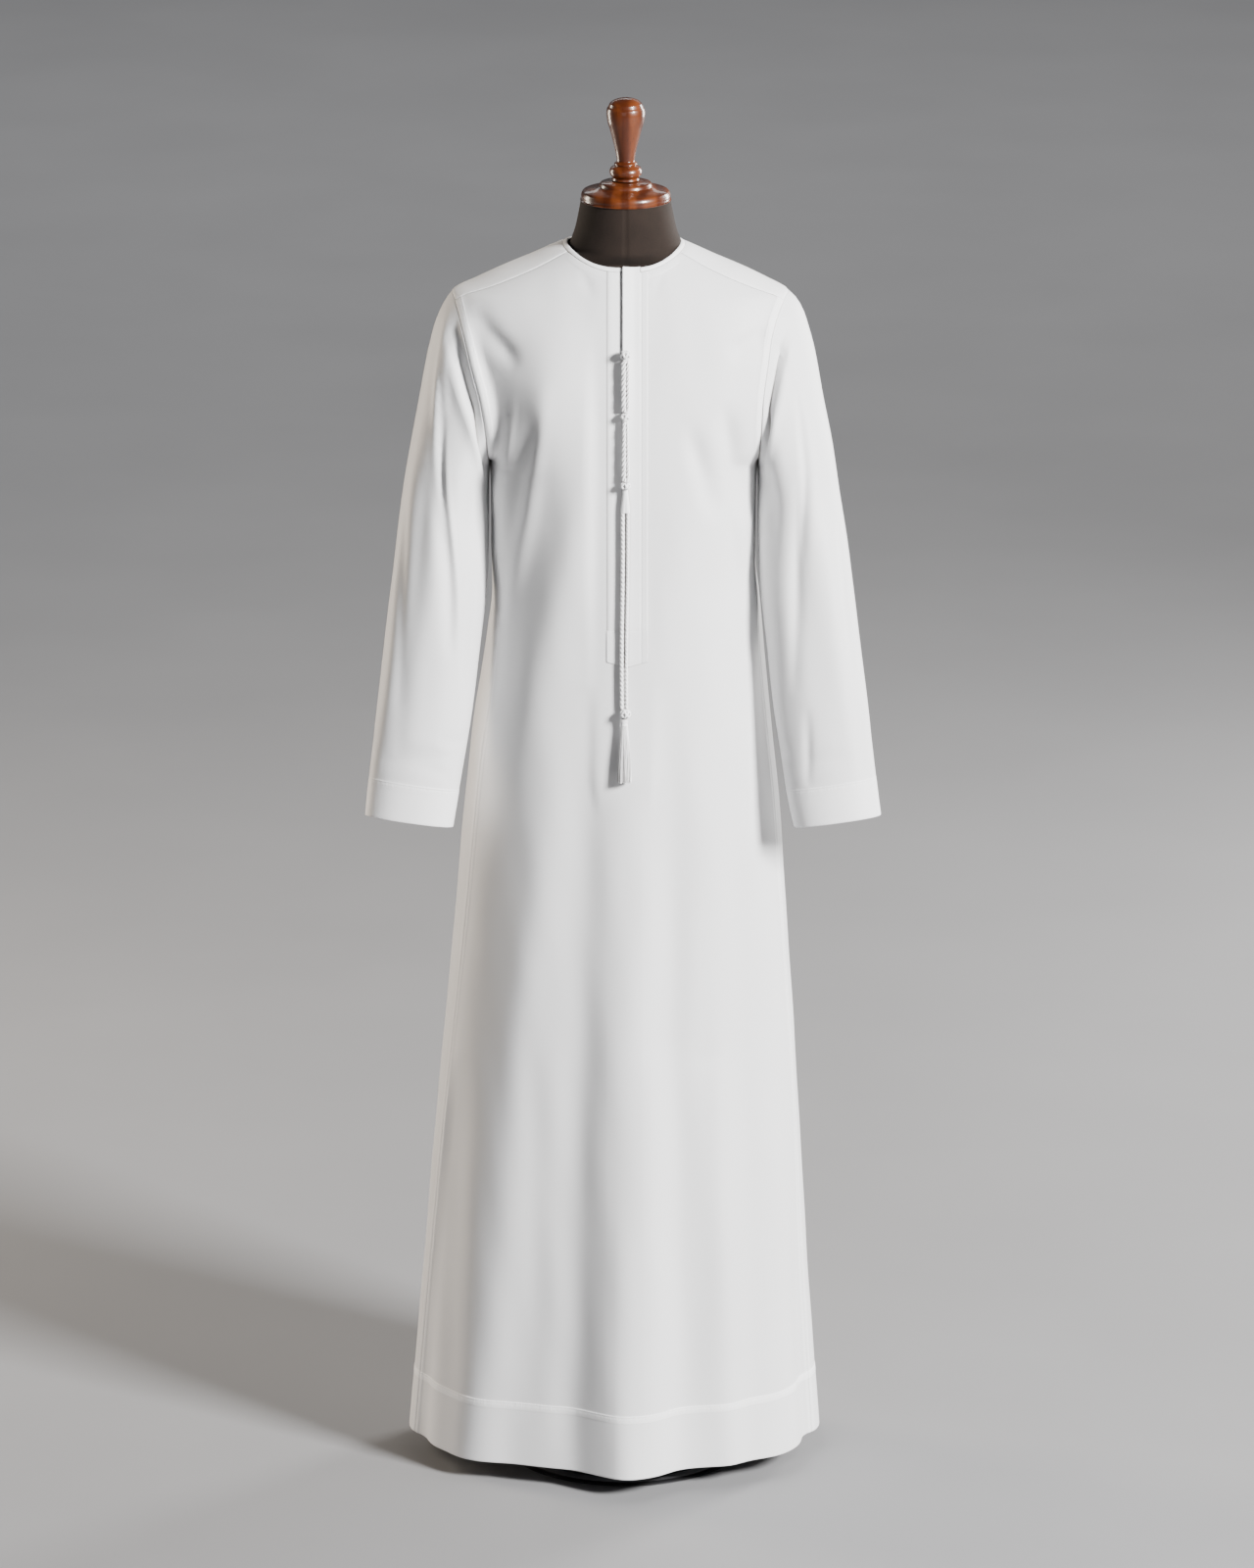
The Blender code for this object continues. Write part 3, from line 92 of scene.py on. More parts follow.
# Where the body surface's sides are, how deep its sections are, and how square:
# height, left, right, front, back, square.
BODY = table("""
25 -2646 2402 1700 164 185
221 -2475 2257 1640 155 190
424 -2294 2137 1570 146 195
625 -2102 2006 1500 137 205
724 -2014 1941 1460 132 210
848 -1900 1852 1410 125 215
946 -1789 1753 1370 118 220
1044 -1655 1654 1340 110 225
1088 -1598 1605 1330 108 232
1131 -1580 1560 1320 108 242
1200 -1585 1570 1310 111 255
1255 -1600 1590 1290 114 258
1280 -1780 1755 1270 115 242
1310 -1985 1940 1240 115 232
1350 -2200 2130 1170 112 222
1390 -2285 2195 1070 108 215
1420 -2260 2170 990 101 210
1440 -2170 2080 920 96 205
1458 -2030 1940 850 90 200
1469 -1800 1740 800 86 200
1483 -1500 1455 725 80 200
1497 -1165 1125 640 73 200
1511 -845 815 540 64 200
1518 -645 645 480 58 200
1530 -300 300 300 35 200
""", 1e3, 1e4, 1e4, 1e4, 1e3, 1e2)

# How far inside the silhouette the side seams run, in front of it: height, left, right.
SIDE_SEAM = table("""
25 5 5   200 6 5   500 10 5
800 14 6   950 14 6   1100 8 4
1200 3 2   1255 0 0
""", 1e3, 1e3, 1e3)

# Where the armhole seams run, seen from the front: height, left, right.
ARMHOLE = table("""
1255 -1600 1590   1299 -1630 1615   1338 -1690 1635
1380 -1800 1690   1420 -1900 1755   1452 -1995 1885
1458 -2030 1940
""", 1e3, 1e4, 1e4)

# Long soft folds of the skirt, deepest at the hem: turn, width, depth, top height.
SKIRT_FOLDS = table("""
4 10 22 100
-27 12 -9 90
-52 11 8 70
-72 7 -8 45
30 11 -6 85
52 11 10 75
73 7 -10 50
115 12 9 70
140 12 -10 85
166 13 14 95
-168 10 -9 85
-143 13 12 80
-113 11 -8 60
""", 1, 1, 1e3, 1e2)

# Folds that fan in from the armholes and shoulders, seen from the front: side, x0, z0, x1, z1, width, depth.
DRAPES = table("""
-1 105 133 135 1180 11 -45
-1 135 132 150 1120 9 35
-1 152 113 172 930 10 -40
-1 178 143 128 1395 12 -30
1 120 133 143 1200 11 -45
1 80 131 112 1210 12 -30
1 130 125 156 1050 10 35
1 172 142 125 1400 12 -25
""", 1, 1e3, 1e2, 1e3, 1e3, 1e3, 1e4)

# The sleeves' sides, seen from the front, each by its own height: height, left, right.
SLEEVE_OUTER = table("""
840 3087 3063   876 3050 3015   969 2941 2906
1062 2832 2786   1145 2724 2678   1228 2617 2547
1283 2522 2464   1334 2427 2362   1391 2315 2254
1420 2235 2171   1434 2180 2123   1448 2100 2041
1458 2030 1940
""", 1e3, 1e4, 1e4)
SLEEVE_INNER = table("""
825 2045 2030   876 1955 1921   922 1873 1850
969 1802 1779   1062 1683 1672   1103 1636 1626
1145 1613 1598   1200 1605 1590   1255 1600 1590
""", 1e3, 1e4, 1e4)

# Rings of a sleeve from the armhole to the cuff: outer z, inner z, forward, half depth.
SLEEVE_RINGS = table("""
14580 12550 0 680
14480 12500 1 680
14320 12440 3 675
14080 12360 6 670
13760 12250 10 665
13380 12100 16 655
12900 11900 24 640
12350 11620 33 610
11750 11250 43 580
11120 10780 54 540
10480 10240 64 500
9840 9640 74 450
9280 9100 84 400
8890 8730 91 365
8850 8690 92 360
8395 8245 100 330
""", 1e4, 1e4, 1e3, 1e4)
SLEEVE_SQUARE = 2.15
SLEEVE_LEAN = 11.0
CUFF_RING = 14
SEAM_FADE = 0.30

# Folds along the sleeves: side, turn round the sleeve (0 outer edge, 90 front, 180 inner edge), width, the
# stretch from the armhole (0) to the cuff (1), and depth.
SLEEVE_FOLDS = table("""
-1 128 15 2 42 -85
-1 92 16 10 62 50
-1 62 15 20 85 -50
-1 235 18 5 60 -60
-1 285 18 20 90 40
1 130 15 2 40 -85
1 98 15 22 70 -45
1 60 16 30 95 45
1 228 18 5 55 -60
1 280 18 25 90 40
""", 1, 1, 1, 1e2, 1e2, 1e4)

# Neck edge and the binding's lower seam, seen from above.
NECK_SIDE = 0.0668
NECK_DEPTH = 0.0625
NECK_SQUARE = 2.3
BINDING_SIDE = 0.0050
BINDING_FRONT = 0.0032
BINDING_BACK = 0.0036
LOOP_SIDE = NECK_SIDE + BINDING_SIDE
LOOP_FRONT = NECK_DEPTH + BINDING_FRONT
LOOP_BACK = NECK_DEPTH + BINDING_BACK
YOKE_NECK_X = 0.0660
YOKE_FRONT_BOW = 0.0095
YOKE_BACK_BOW = 0.0200

# Columns of the part's own grid at a panel's seams: armhole side, yoke's corner, slit and so on.
CORNER = 9
FRONT_BOUNDS = (0, CORNER, 12, 14, 17, 26)
BACK_BOUNDS = (0, CORNER, 15, 24)

# Placket: the slit's sides, the over strip's free edge, its sewn edge and its stitched end.
SLIT_LEFT = -0.0205
SLIT_RIGHT = 0.0200
OVER_EDGE = -0.0020
OVER_SEWN = 0.0280
BOX_LEFT = -0.0220
BOX_MIDDLE = -0.0120
BOX_Z = 1.0385
BOX_POINT = 0.0065
BOX_INSET = 0.0013
# The box's slanting row, and the two rows of the V under it: both ends, stand-off and size.
SLANTS = (
    (-0.0196, 1.0750, -0.0046, 1.0596, SEAM + WALL, 1.0),
    (-0.0232, 0.9865, -0.0104, 0.9759, 0.0001, 1.9),
    (0.0261, 0.9858, 0.0058, 0.9675, 0.0001, 1.9),
)
ACROSS_SLANT = (0.716, 0.698)
# How far the over strip stands off the under strip, and between which heights and places.
LIFT = 0.0026
LIFT_Z = (1.250, 1.410)
LIFT_X = (-0.0020, 0.0120)

# Farokha, the cord that hangs from the placket. Knots: name, z, radius, half height, and how each is
# worked, as its strand's leads, bights and width.
FAROKHA_X = 0.0015
KNOTS = (
    ("farokha_knot_upper", 1.4040, 0.0060, 0.0060, (3, 5, 0.95)),
    ("farokha_knot_middle", 1.3340, 0.0054, 0.0052, (3, 4, 0.85)),
    ("farokha_knot_lower", 1.2540, 0.0058, 0.0050, (2, 5, 0.80)),
    ("farokha_tassel_knot", 0.9775, 0.0062, 0.0058, (4, 5, 1.05)),
)
# Braids: name, top, bottom, top radius, bottom radius. Their cords: side, place, radius, pitch.
BRAIDS = (
    ("farokha_braid_upper", 1.3977, 1.3395, 0.0050, 0.0050),
    ("farokha_braid_lower", 1.3285, 1.2593, 0.0036, 0.0052),
)
BRAID_CORDS = ((-1.0, 0.40, 0.62, 0.0176), (1.0, 0.58, 0.46, 0.0150))
BRAID_LEAN = 0.0006
BRAID_SWAY = 0.0004
# Flare: top, bottom, top radius, bottom radius.
FLARE = (1.2487, 1.2220, 0.0032, 0.0054)
FLARE_LAPS = (0.0012, 0.0008)
CORD_TOP = 1.2217
CORD_BOTTOM = 0.9836
CORD_LAPS = (0.0025, 0.0015)
CORD_DRIFT = -0.0030
CORD_CLOSING = 0.1
TASSEL_TOP = 0.9714
TASSEL_END = 0.8950
TASSEL_NECK_RADIUS = 0.0042
TASSEL_RADIUS = 0.0092
TASSEL_X = 0.0003
TASSEL_FLAT = 0.66
TASSEL_LAY = 0.62
TASSEL_ROOTS = 0.0085
TASSEL_HEAD = ((-0.0004, 0.0006, 0.0040, 0.0052, 0.0085), (0.6, 1.0, 1.02, 0.9, 1.0))
WRAPS = (0.0004, 0.0046)
WRAP_PITCH = 0.0011
STRANDS_BELOW = 0.0050
TASSEL_STRANDS = 190
TASSEL_LOCKS = 9
STRAND_RADIUS = 0.00042
STRAND_TURN = 2.399963

# Dress form, inside the cloth: height, how far at the sides, how much more at front and back.
FORM_X = 0.0020
FORM_OFFSETS = table("""
840 400 0   960 280 0   1090 150 1
1200 115 0   1300 115 0   1350 110 0
1430 120 -3   1450 65 1   1465 24 5
1490 23 5   1506 42 5
""", 1e3, 1e4, 1e3)
# Its rows: from, to and how many.
FORM_ROWS = ((0.840, 1.29, 46), (1.295, 1.505, 60))
FORM_BOTTOM = FORM_ROWS[0][0]
FORM_ROUND = 0.012
FORM_FOOT = 0.93
FORM_GROOVE = 0.0010
FORM_GROOVE_WIDTH = 0.0012
NECK_LOW = 1.5125
NECK_HIGH = 1.5668
# The neck of the form as it meets the robe's binding: height, side, front, back.
NECK_FIT = table("""
15090 668 590 600
15172 656 585 595
15245 630 572 582
15340 598 556 566
15540 555 535 540
15668 531 522 522
""", 1e4, 1e4, 1e4, 1e4)

# Turned pieces, as radius and height, down the outside.
CAP_PROFILE = table("""
0 15905   200 15900   290 15885   308 15862   316 15840
360 15822   450 15802   503 15785   524 15752   529 15720
524 15690   508 15673   0 15671
""", 1e4, 1e4)
FINIAL_PROFILE = table("""
0 16895   80 16888   150 16862   196 16822   204 16796
222 16768   229 16720   226 16670   214 16600   192 16530
156 16400   122 16262   107 16170   106 16140   130 16118
136 16104   124 16090   174 16062   192 16022   184 15978
152 15942   150 15910   0 15908
""", 1e4, 1e4)
BASE_PROFILE = table("""
0 400   260 400   285 380   300 240   420 170
900 125   1340 95   1385 70   1400 30   1400 0
0 0
""", 1e4, 1e4)

# Cloth of the fine model: grid steps from its edges, and where its bands and stitches run.
EDGE_STEPS = (0.00015, 0.0005, 0.0011, 0.0019, 0.0029, 0.0040, 0.0048, 0.0056, 0.0068, 0.0080, 0.0090,
              0.0098, 0.0106)
SLIT_STEPS = (0.00015, 0.0006, 0.0014, 0.0026)
TOP_STEPS = (0.00015, 0.0005, 0.0011, 0.0019, 0.0032, 0.0048, 0.0066, 0.0078, 0.0086, 0.0094, 0.0106, 0.0130)
YOKE_STEPS = (0.00015, 0.0005, 0.0010, 0.0016, 0.0022, 0.0034)
HEM_STEPS = (0.0, 0.0003, 0.0008, 0.0015, 0.0028, 0.0055)
STRIP_STEPS = (-0.0120, -0.0102, -0.0096, -0.0090, -0.0082, -0.0065, -0.0045, -0.0030, -0.0022, -0.0015,
               -0.0007, -0.0001, 0.0005, 0.0012, 0.0025, 0.0050)
ARMHOLE_STEPS = (0.00015, 0.0005, 0.0011, 0.0020, 0.0035)
ABOVE_CUFF_STEPS = (0.0, 0.0007, 0.0015, 0.0030, 0.0055)
BELOW_CUFF_STEPS = (0.0, 0.0006, 0.0015, 0.0022, 0.0030, 0.0050)
UNDER_STEPS = (0.0, 0.0006, 0.0015)
FREE_STEPS = np.array((0.0, 0.0004, 0.0009, 0.0015, 0.0024, 0.0036))
SEWN_STEPS = np.array((0.0106, 0.0092, 0.0084, 0.0078, 0.0072, 0.0066, 0.0056, 0.0042, 0.0030, 0.0018, 0.0010,
                       0.0004, 0.0))
BOX_STEPS = (0.0, 0.0004, 0.0010, 0.0018, 0.0028)
BINDING_SHARES = np.array((0.0, 0.04, 0.12, 0.25, 0.42, 0.60, 0.76, 0.88, 0.96, 1.0))
BINDING_STITCH = 3
# Rows are closer from here up to the slit.
CLOSE_Z = 0.98
SUB_COLUMNS = 16
SLEEVE_AROUND = 132
SLEEVE_ALONG = 240
SLEEVE_TURN_SIZE = 0.075
FOLD_KEEP = 0.55
SEAM_THICK = 0.0005
EDGE_ROUND = 0.0014
ARM_BAND = 0.0096
ARM_STITCH = 0.0080
SIDE_BAND = 0.0060
SIDE_STITCHES = (0.0011, 0.0056)
FACING_STITCH = 0.0086
YOKE_STITCH = 0.0016
YOKE_LONG = 0.150
YOKE_WIDE = 0.110
HEM_STITCH = -0.0022
CUFF_STITCH = 0.0022
STRIP_LOW = -0.0090
UNDER_STITCH_X = -0.0165
OVER_STITCH = 0.0078
BAND_RISE = 0.00045
HEM_RISE = 0.00035
GROOVE = 0.00030
GROOVE_WIDTH = 0.0006
STITCH_PITCH = 0.0027
STITCH_LONG = 0.0009
STITCH_THICK = 0.00022
STITCH_REACH = 0.0006

# Creases on the panels: back, three points (x, z), the widths on their two sides and the height.
CREASES = table("""
0 -92 1370 -1050 1230 -150 1030 15 10 43
0 -130 1350 -1370 1280 -158 1180 9 4 15
0 -148 1150 -1620 1040 -174 900 18 7 28
0 -25 1380 -560 1150 -133 860 28 34 70
0 -98 1180 -1060 980 -118 760 30 40 50
0 -180 1445 -1520 1425 -124 1385 8 10 -28
0 -190 1425 -1780 1395 -164 1370 7 9 -24
0 -176 1450 -1630 1350 -148 1220 18 40 -105
0 -83 1460 -820 1345 -86 1200 36 44 85
0 -52 1493 -380 1478 -25 1461 6 4 -16
0 -30 1490 -245 1480 -20 1468 4 3 -8
0 46 1492 375 1480 30 1466 4 5 -13
0 118 1345 1300 1270 143 1190 7 16 -42
0 74 1330 880 1270 106 1205 8 14 -26
0 123 1250 1400 1120 152 1020 7 14 -38
0 129 1240 1460 1120 158 1010 6 4 12
0 172 1430 1500 1422 128 1408 6 9 -14
0 152 980 1640 860 172 720 8 16 -18
0 -40 1010 -620 450 -70 -300 30 26 -85
0 -85 960 -1320 520 -215 -450 26 24 45
0 56 1020 600 450 64 -350 24 22 -70
0 130 940 1500 480 162 -20 20 18 -46
0 38 560 440 280 50 -240 26 30 85
0 106 540 1200 260 129 -220 28 22 120
0 -202 520 -2120 260 -220 -220 18 20 -60
0 -115 640 -1060 380 -110 80 12 18 -16
0 93 720 1010 480 98 190 18 12 -15
1 -130 1360 -1270 1270 -138 1160 16 8 -34
1 -108 1330 -1150 1220 -130 1110 7 11 -22
1 -70 1320 -820 1220 -96 1120 12 18 -24
1 128 1350 1250 1260 136 1150 9 17 -34
1 101 1330 1100 1230 124 1140 12 8 -22
1 62 1300 700 1220 86 1130 18 12 -22
1 -26 1180 -220 1080 -30 960 16 12 -24
1 24 1150 300 1050 26 930 12 18 -20
1 -140 1060 -1540 960 -162 840 14 8 -22
1 138 1040 1500 940 160 820 8 15 -22
1 -50 1470 0 1452 52 1470 12 7 -16
1 -52 1000 -700 450 -82 -350 24 32 -75
1 44 1060 600 450 68 -300 30 22 -80
1 -118 860 -1420 420 -160 -380 20 24 -45
1 122 940 1380 450 160 -400 22 18 -50
1 6 780 -40 450 6 50 14 18 -20
""", 1, 1e3, 1e3, 1e4, 1e3, 1e3, 1e3, 1e3, 1e3, 1e4)

# Creases on the sleeves: side, three points (turn, share of the way to the cuff), widths and height.
SLEEVE_CREASES = table("""
-1 38 24 88 32 142 48 58 125 -100
-1 42 46 84 56 140 78 130 55 28
-1 22 20 46 56 74 130 50 70 14
-1 24 20 60 140 94 360 90 60 28
-1 64 130 92 300 114 620 130 75 -50
-1 72 140 99 300 120 560 40 40 18
-1 20 300 44 480 58 760 120 120 -22
-1 128 360 132 520 140 700 100 80 -22
-1 40 875 80 855 140 885 50 90 -22
-1 60 835 100 850 150 835 70 60 -19
-1 110 800 140 812 165 790 70 60 -16
-1 250 40 262 220 250 440 120 60 -34
-1 310 14 272 18 225 36 60 70 -42
-1 300 80 306 250 296 480 60 120 -26
-1 220 860 260 875 310 850 70 60 -18
-1 232 500 244 600 236 720 120 70 -24
1 38 24 86 33 140 47 48 130 -100
1 40 44 84 54 140 76 130 50 26
1 84 220 102 450 120 700 120 100 -36
1 106 740 112 830 120 910 80 80 -22
1 54 90 74 200 92 400 100 60 -26
1 30 350 44 500 40 720 130 110 -18
1 60 860 100 845 150 870 60 90 -18
1 140 835 156 815 178 830 60 60 -22
1 252 50 264 240 250 460 70 120 -32
1 310 14 270 18 226 36 60 70 -42
1 305 100 298 280 306 500 110 60 -24
1 215 855 255 870 300 845 60 70 -18
""", 1, 1, 1e3, 1, 1e3, 1, 1e3, 1e4, 1e4, 1e4)
BROAD_CREASE = 0.02

# ---------------------------------------------------------------- tables and the body surface


def read(table, column, at):
    """A column of a table at a height, along a smooth curve that doesn't overshoot its rows."""
    x, y = table[:, 0], table[:, column]
    gaps = np.diff(x)
    slopes = np.diff(y) / gaps
    bends = np.zeros(len(x))
    bends[0], bends[-1] = slopes[0], slopes[-1]
    same = slopes[:-1] * slopes[1:] > 0
    shares = (gaps[:-1] + 2 * gaps[1:], 2 * gaps[:-1] + gaps[1:])
    safe = np.where(same, slopes[:-1] * slopes[1:], 1.0)
    blend = (shares[0] + shares[1]) * safe / (shares[0] * slopes[1:] + shares[1] * slopes[:-1] + 1e-30)
    bends[1:-1] = np.where(same, blend, 0.0)
    at = np.clip(np.asarray(at, float), x[0], x[-1])
    low = np.clip(np.searchsorted(x, at) - 1, 0, len(x) - 2)
    part = (at - x[low]) / gaps[low]
    rise = 3 * part**2 - 2 * part**3
    lean_low = part * (1 - part) ** 2 * bends[low] * gaps[low]
    lean_high = part**2 * (1 - part) * bends[low + 1] * gaps[low]
    return y[low] * (1 - rise) + y[low + 1] * rise + lean_low - lean_high


def read_side(table, side, at):
    """The column of the wearer's right side (-1) or left side (1)."""
    return read(table, 1 if side < 0 else 2, at)


def fade(value):
    """0 below 0, 1 above 1 and smooth between."""
    part = np.clip(value, 0.0, 1.0)
    return part * part * (3 - 2 * part)


def ease(value, start, end):
    return fade((value - start) / (end - start))


def mixed(first, second, share):
    return first * (1 - share) + second * share


def bell(away, width):
    return np.exp(-((away / width) ** 2))


def bump_at(distance, place, width=GROOVE_WIDTH):
    return bell(distance - place, width)


def unit(vectors):
    return vectors / np.maximum(np.linalg.norm(vectors, axis=-1, keepdims=True), 1e-12)


def signed(value, power):
    return np.sign(value) * np.abs(value) ** power


def wrapped(turn):
    return (turn + 180) % 360 - 180


def circle(sides):
    return np.linspace(0, 2 * math.pi, sides, endpoint=False)


def middle(z):
    return (read(BODY, 1, z) + read(BODY, 2, z)) / 2


def half_width(z):
    return (read(BODY, 2, z) - read(BODY, 1, z)) / 2


def plain_point(turn, z):
    """The body surface without folds."""
    angle = np.radians(turn)
    power = 2.0 / read(BODY, 5, z)
    cosine = np.cos(angle)
    depth = np.where(cosine >= 0, read(BODY, 3, z), read(BODY, 4, z))
    x = middle(z) + half_width(z) * signed(np.sin(angle), power)
    return np.stack([x, -depth * signed(cosine, power), z + 0 * x], axis=-1)


def turn_at(x, z, back=False):
    """The turn at which the section at a height reaches x, on the front or the back."""
    share = np.clip((x - middle(z)) / half_width(z), -1.0, 1.0)
    angle = np.degrees(np.arcsin(np.abs(share) ** (read(BODY, 5, z) / 2))) * np.sign(share)
    return np.where(share >= 0, 180 - angle, -180 - angle) if back else angle


def height_over(x, y):
    """The height of the shoulders' surface over a place seen from above."""
    x = np.asarray(x, float)
    low, high = np.full(x.shape, SHOULDER_LOW), np.full(x.shape, SHOULDER_HIGH)
    for _ in range(40):
        z = (low + high) / 2
        power = read(BODY, 5, z)
        depth = np.where(y <= 0, read(BODY, 3, z), read(BODY, 4, z))
        inside = np.abs((x - middle(z)) / half_width(z)) ** power + np.abs(y / depth) ** power < 1
        low, high = np.where(inside, z, low), np.where(inside, high, z)
    return (low + high) / 2


def normal_at(turn, z, point=plain_point):
    side = point(turn + 0.4, z) - point(turn - 0.4, z)
    rise = point(turn, z + 0.0015) - point(turn, z - 0.0015)
    return unit(np.cross(side, rise))


def fold_depth(turn, z):
    """How far the cloth stands out of the plain surface."""
    turn = wrapped(turn)
    depth = np.zeros(np.broadcast(turn, z).shape)
    for at, width, tall, top in SKIRT_FOLDS:
        drop = np.clip((top - z) / (top - HEM_Z), 0, 1)
        depth = depth + tall * bell(wrapped(turn - at), width) * drop**1.3
    points = plain_point(turn, z)
    front = np.where(np.cos(np.radians(turn)) > 0.05, 1.0, 0.75)
    for side, x0, z0, x1, z1, width, tall in DRAPES:
        start = np.array([side * x0, z0])
        along = np.array([side * x1, z1]) - start
        length = np.linalg.norm(along)
        along = along / length
        flat = points[..., [0, 2]] - start
        run = flat @ along
        off = flat[..., 0] * along[1] - flat[..., 1] * along[0]
        ends = fade(run / (0.35 * length) + 0.35) * fade((length - run) / (0.45 * length) + 0.35)
        depth = depth + tall * front * bell(off, width) * ends
    seam = fade((UNDERARM_Z - z) / 0.02) + fade((np.abs(90 - np.abs(turn))) / 14)
    return depth * np.clip(seam, 0, 1)


def body_point(turn, z):
    return plain_point(turn, z) + normal_at(turn, z) * fold_depth(turn, z)[..., None]


def front_surface(x, z):
    turn = turn_at(x, z)
    return body_point(turn, z), normal_at(turn, z)


# ---------------------------------------------------------------- seam lines


def side_turn(side, z):
    """The turn of a side seam: it leans forward below the underarm."""
    inset = read_side(SIDE_SEAM, side, z)
    return np.where(inset < 1e-6, side * 90.0, turn_at(read_side(BODY, side, z) - side * inset, z))


def armhole_turn(side, z, back=False):
    return turn_at(read_side(ARMHOLE, side, z), z, back)


def neck_depth(x, side, front):
    """How far forward (or back) the neck loop through a half-width lies at x."""
    share = np.clip(1 - np.abs(x / side) ** NECK_SQUARE, 0, 1)
    return front * share ** (1 / NECK_SQUARE)


def seam_y(x, back=False):
    """The neck binding's lower seam, seen from above."""
    return neck_depth(x, LOOP_SIDE, LOOP_BACK) if back else -neck_depth(x, LOOP_SIDE, LOOP_FRONT)


def seam_x(y):
    """The same seam's x, on the wearer's left, over the yoke."""
    reach = np.where(y <= 0, LOOP_FRONT, LOOP_BACK)
    return LOOP_SIDE * (1 - np.abs(y / reach) ** NECK_SQUARE) ** (1 / NECK_SQUARE)


def yoke_neck_y(count):
    return np.linspace(float(seam_y(YOKE_NECK_X)), float(seam_y(YOKE_NECK_X, back=True)), count)


def yoke_seam(side, share, back=False):
    """A shoulder seam seen from above, from the neck (share 0) to the armhole (share 1)."""
    end_x = float(read_side(ARMHOLE, side, YOKE_ARM_Z))
    end_y = float(plain_point(armhole_turn(side, YOKE_ARM_Z, back), YOKE_ARM_Z)[..., 1])
    start_x = side * YOKE_NECK_X
    start_y = float(seam_y(start_x, back))
    bow = YOKE_BACK_BOW if back else -YOKE_FRONT_BOW
    x = start_x + (end_x - start_x) * share
    return x, start_y + (end_y - start_y) * share + bow * np.sin(np.pi * share)


def turn_height(x, y):
    """The turn and height of the surface over a place seen from above."""
    z = height_over(x, y)
    return np.where(y <= 0, turn_at(x, z), turn_at(x, z, back=True)), z


def sleeve_edges(side, outer_z, inner_z, forward):
    """The middle of a sleeve's ring and the reach from there to its outer edge."""
    outer = np.array([side * read_side(SLEEVE_OUTER, side, outer_z), -forward, outer_z])
    inner = np.array([side * read_side(SLEEVE_INNER, side, inner_z), -forward, inner_z])
    return (outer + inner) / 2, (outer - inner) / 2


def sleeve_ring(side, outer_z, inner_z, forward, depth, angles):
    centre, reach = sleeve_edges(side, outer_z, inner_z, forward)
    lean = math.radians(SLEEVE_LEAN) * fade(forward / 0.05)
    front = np.array([0.0, -math.cos(lean), math.sin(lean)]) * depth
    power = 2.0 / SLEEVE_SQUARE
    along, across = signed(np.cos(angles), power), signed(np.sin(angles), power)
    return centre + along[:, None] * reach + across[:, None] * front


def sleeve_angles(side, loop):
    """Each armhole point's turn round the sleeve: 0 at its outer edge, 90 in front, 180 at the underarm."""
    centre, reach = sleeve_edges(side, *SLEEVE_RINGS[0, :3])
    along = ((loop - centre) @ reach) / (reach @ reach)
    across = -loop[:, 1] / SLEEVE_RINGS[0, 3]
    power = SLEEVE_SQUARE / 2.0
    angles = np.arctan2(signed(across, power), signed(along, power))
    return np.where(angles < 0, angles + 2 * math.pi, angles)


def tube_normals(grid):
    """Normals of a tube of rings that face away from its middle."""
    normals = grid_normals(grid, wrap=True)
    out = grid - grid.mean(axis=1, keepdims=True)
    return normals * np.sign(np.sum(normals[len(grid) // 2] * out[len(grid) // 2]))


def lift(x, z):
    """How far the over strip stands off the under strip: most at its free edge near the neck."""
    rise = fade((z - LIFT_Z[0]) / (LIFT_Z[1] - LIFT_Z[0]))
    return LIFT * rise * np.clip((LIFT_X[1] - x) / (LIFT_X[1] - LIFT_X[0]), 0, 1)


def lay_line(z, radius, x=FAROKHA_X):
    """Points of a cord's middle that lies on the placket or the front."""
    z = np.asarray(z, float)
    turn = turn_at(x + 0 * z, z)
    strip = WALL + SEAM + np.where(z > BOX_Z - BOX_POINT, lift(x, z), 0.0)
    line = body_point(turn, z) + normal_at(turn, z, body_point) * (strip + SEAM + radius)[..., None]
    line[..., 0] = x
    return line


# ---------------------------------------------------------------- mesh helpers


def link_mesh(name, points, faces, finish, smooth_angle=60.0):
    mesh = bpy.data.meshes.new(name)
    mesh.from_pydata(np.asarray(points, float).tolist(), [], [list(map(int, face)) for face in faces])
    mesh.validate()
    mesh.shade_smooth()
    mesh.set_sharp_from_angle(angle=math.radians(smooth_angle))
    mesh.materials.append(finish)
    obj = bpy.data.objects.new(name, mesh)
    bpy.context.scene.collection.objects.link(obj)
    return obj


def settle(obj, node=None):
    """Rides on the root and stands for a node of the part, whose own mesh it hides."""
    if node:
        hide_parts(node)
    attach(obj, "root")
    return obj


def add_values(obj, **values):
    """Named numbers on the points, which the materials read."""
    for name, numbers in values.items():
        vector = numbers.ndim == 2
        layer = obj.data.attributes.new(name, "FLOAT_VECTOR" if vector else "FLOAT", "POINT")
        layer.data.foreach_set("vector" if vector else "value", numbers.astype(np.float32).ravel())


def grid_normals(points, wrap=False):
    if wrap:
        around = np.roll(points, -1, axis=1) - np.roll(points, 1, axis=1)
    else:
        around = np.gradient(points, axis=1)
    return unit(np.cross(around, np.gradient(points, axis=0)))


def arc(points, axis=1):
    """Distances along a grid's rows or columns."""
    steps = np.linalg.norm(np.diff(points, axis=axis), axis=-1)
    start = np.zeros_like(np.take(steps, [0], axis=axis))
    return np.concatenate([start, np.cumsum(steps, axis=axis)], axis=axis)


def travel_along(line):
    return arc(np.asarray(line, float)[None])[0]


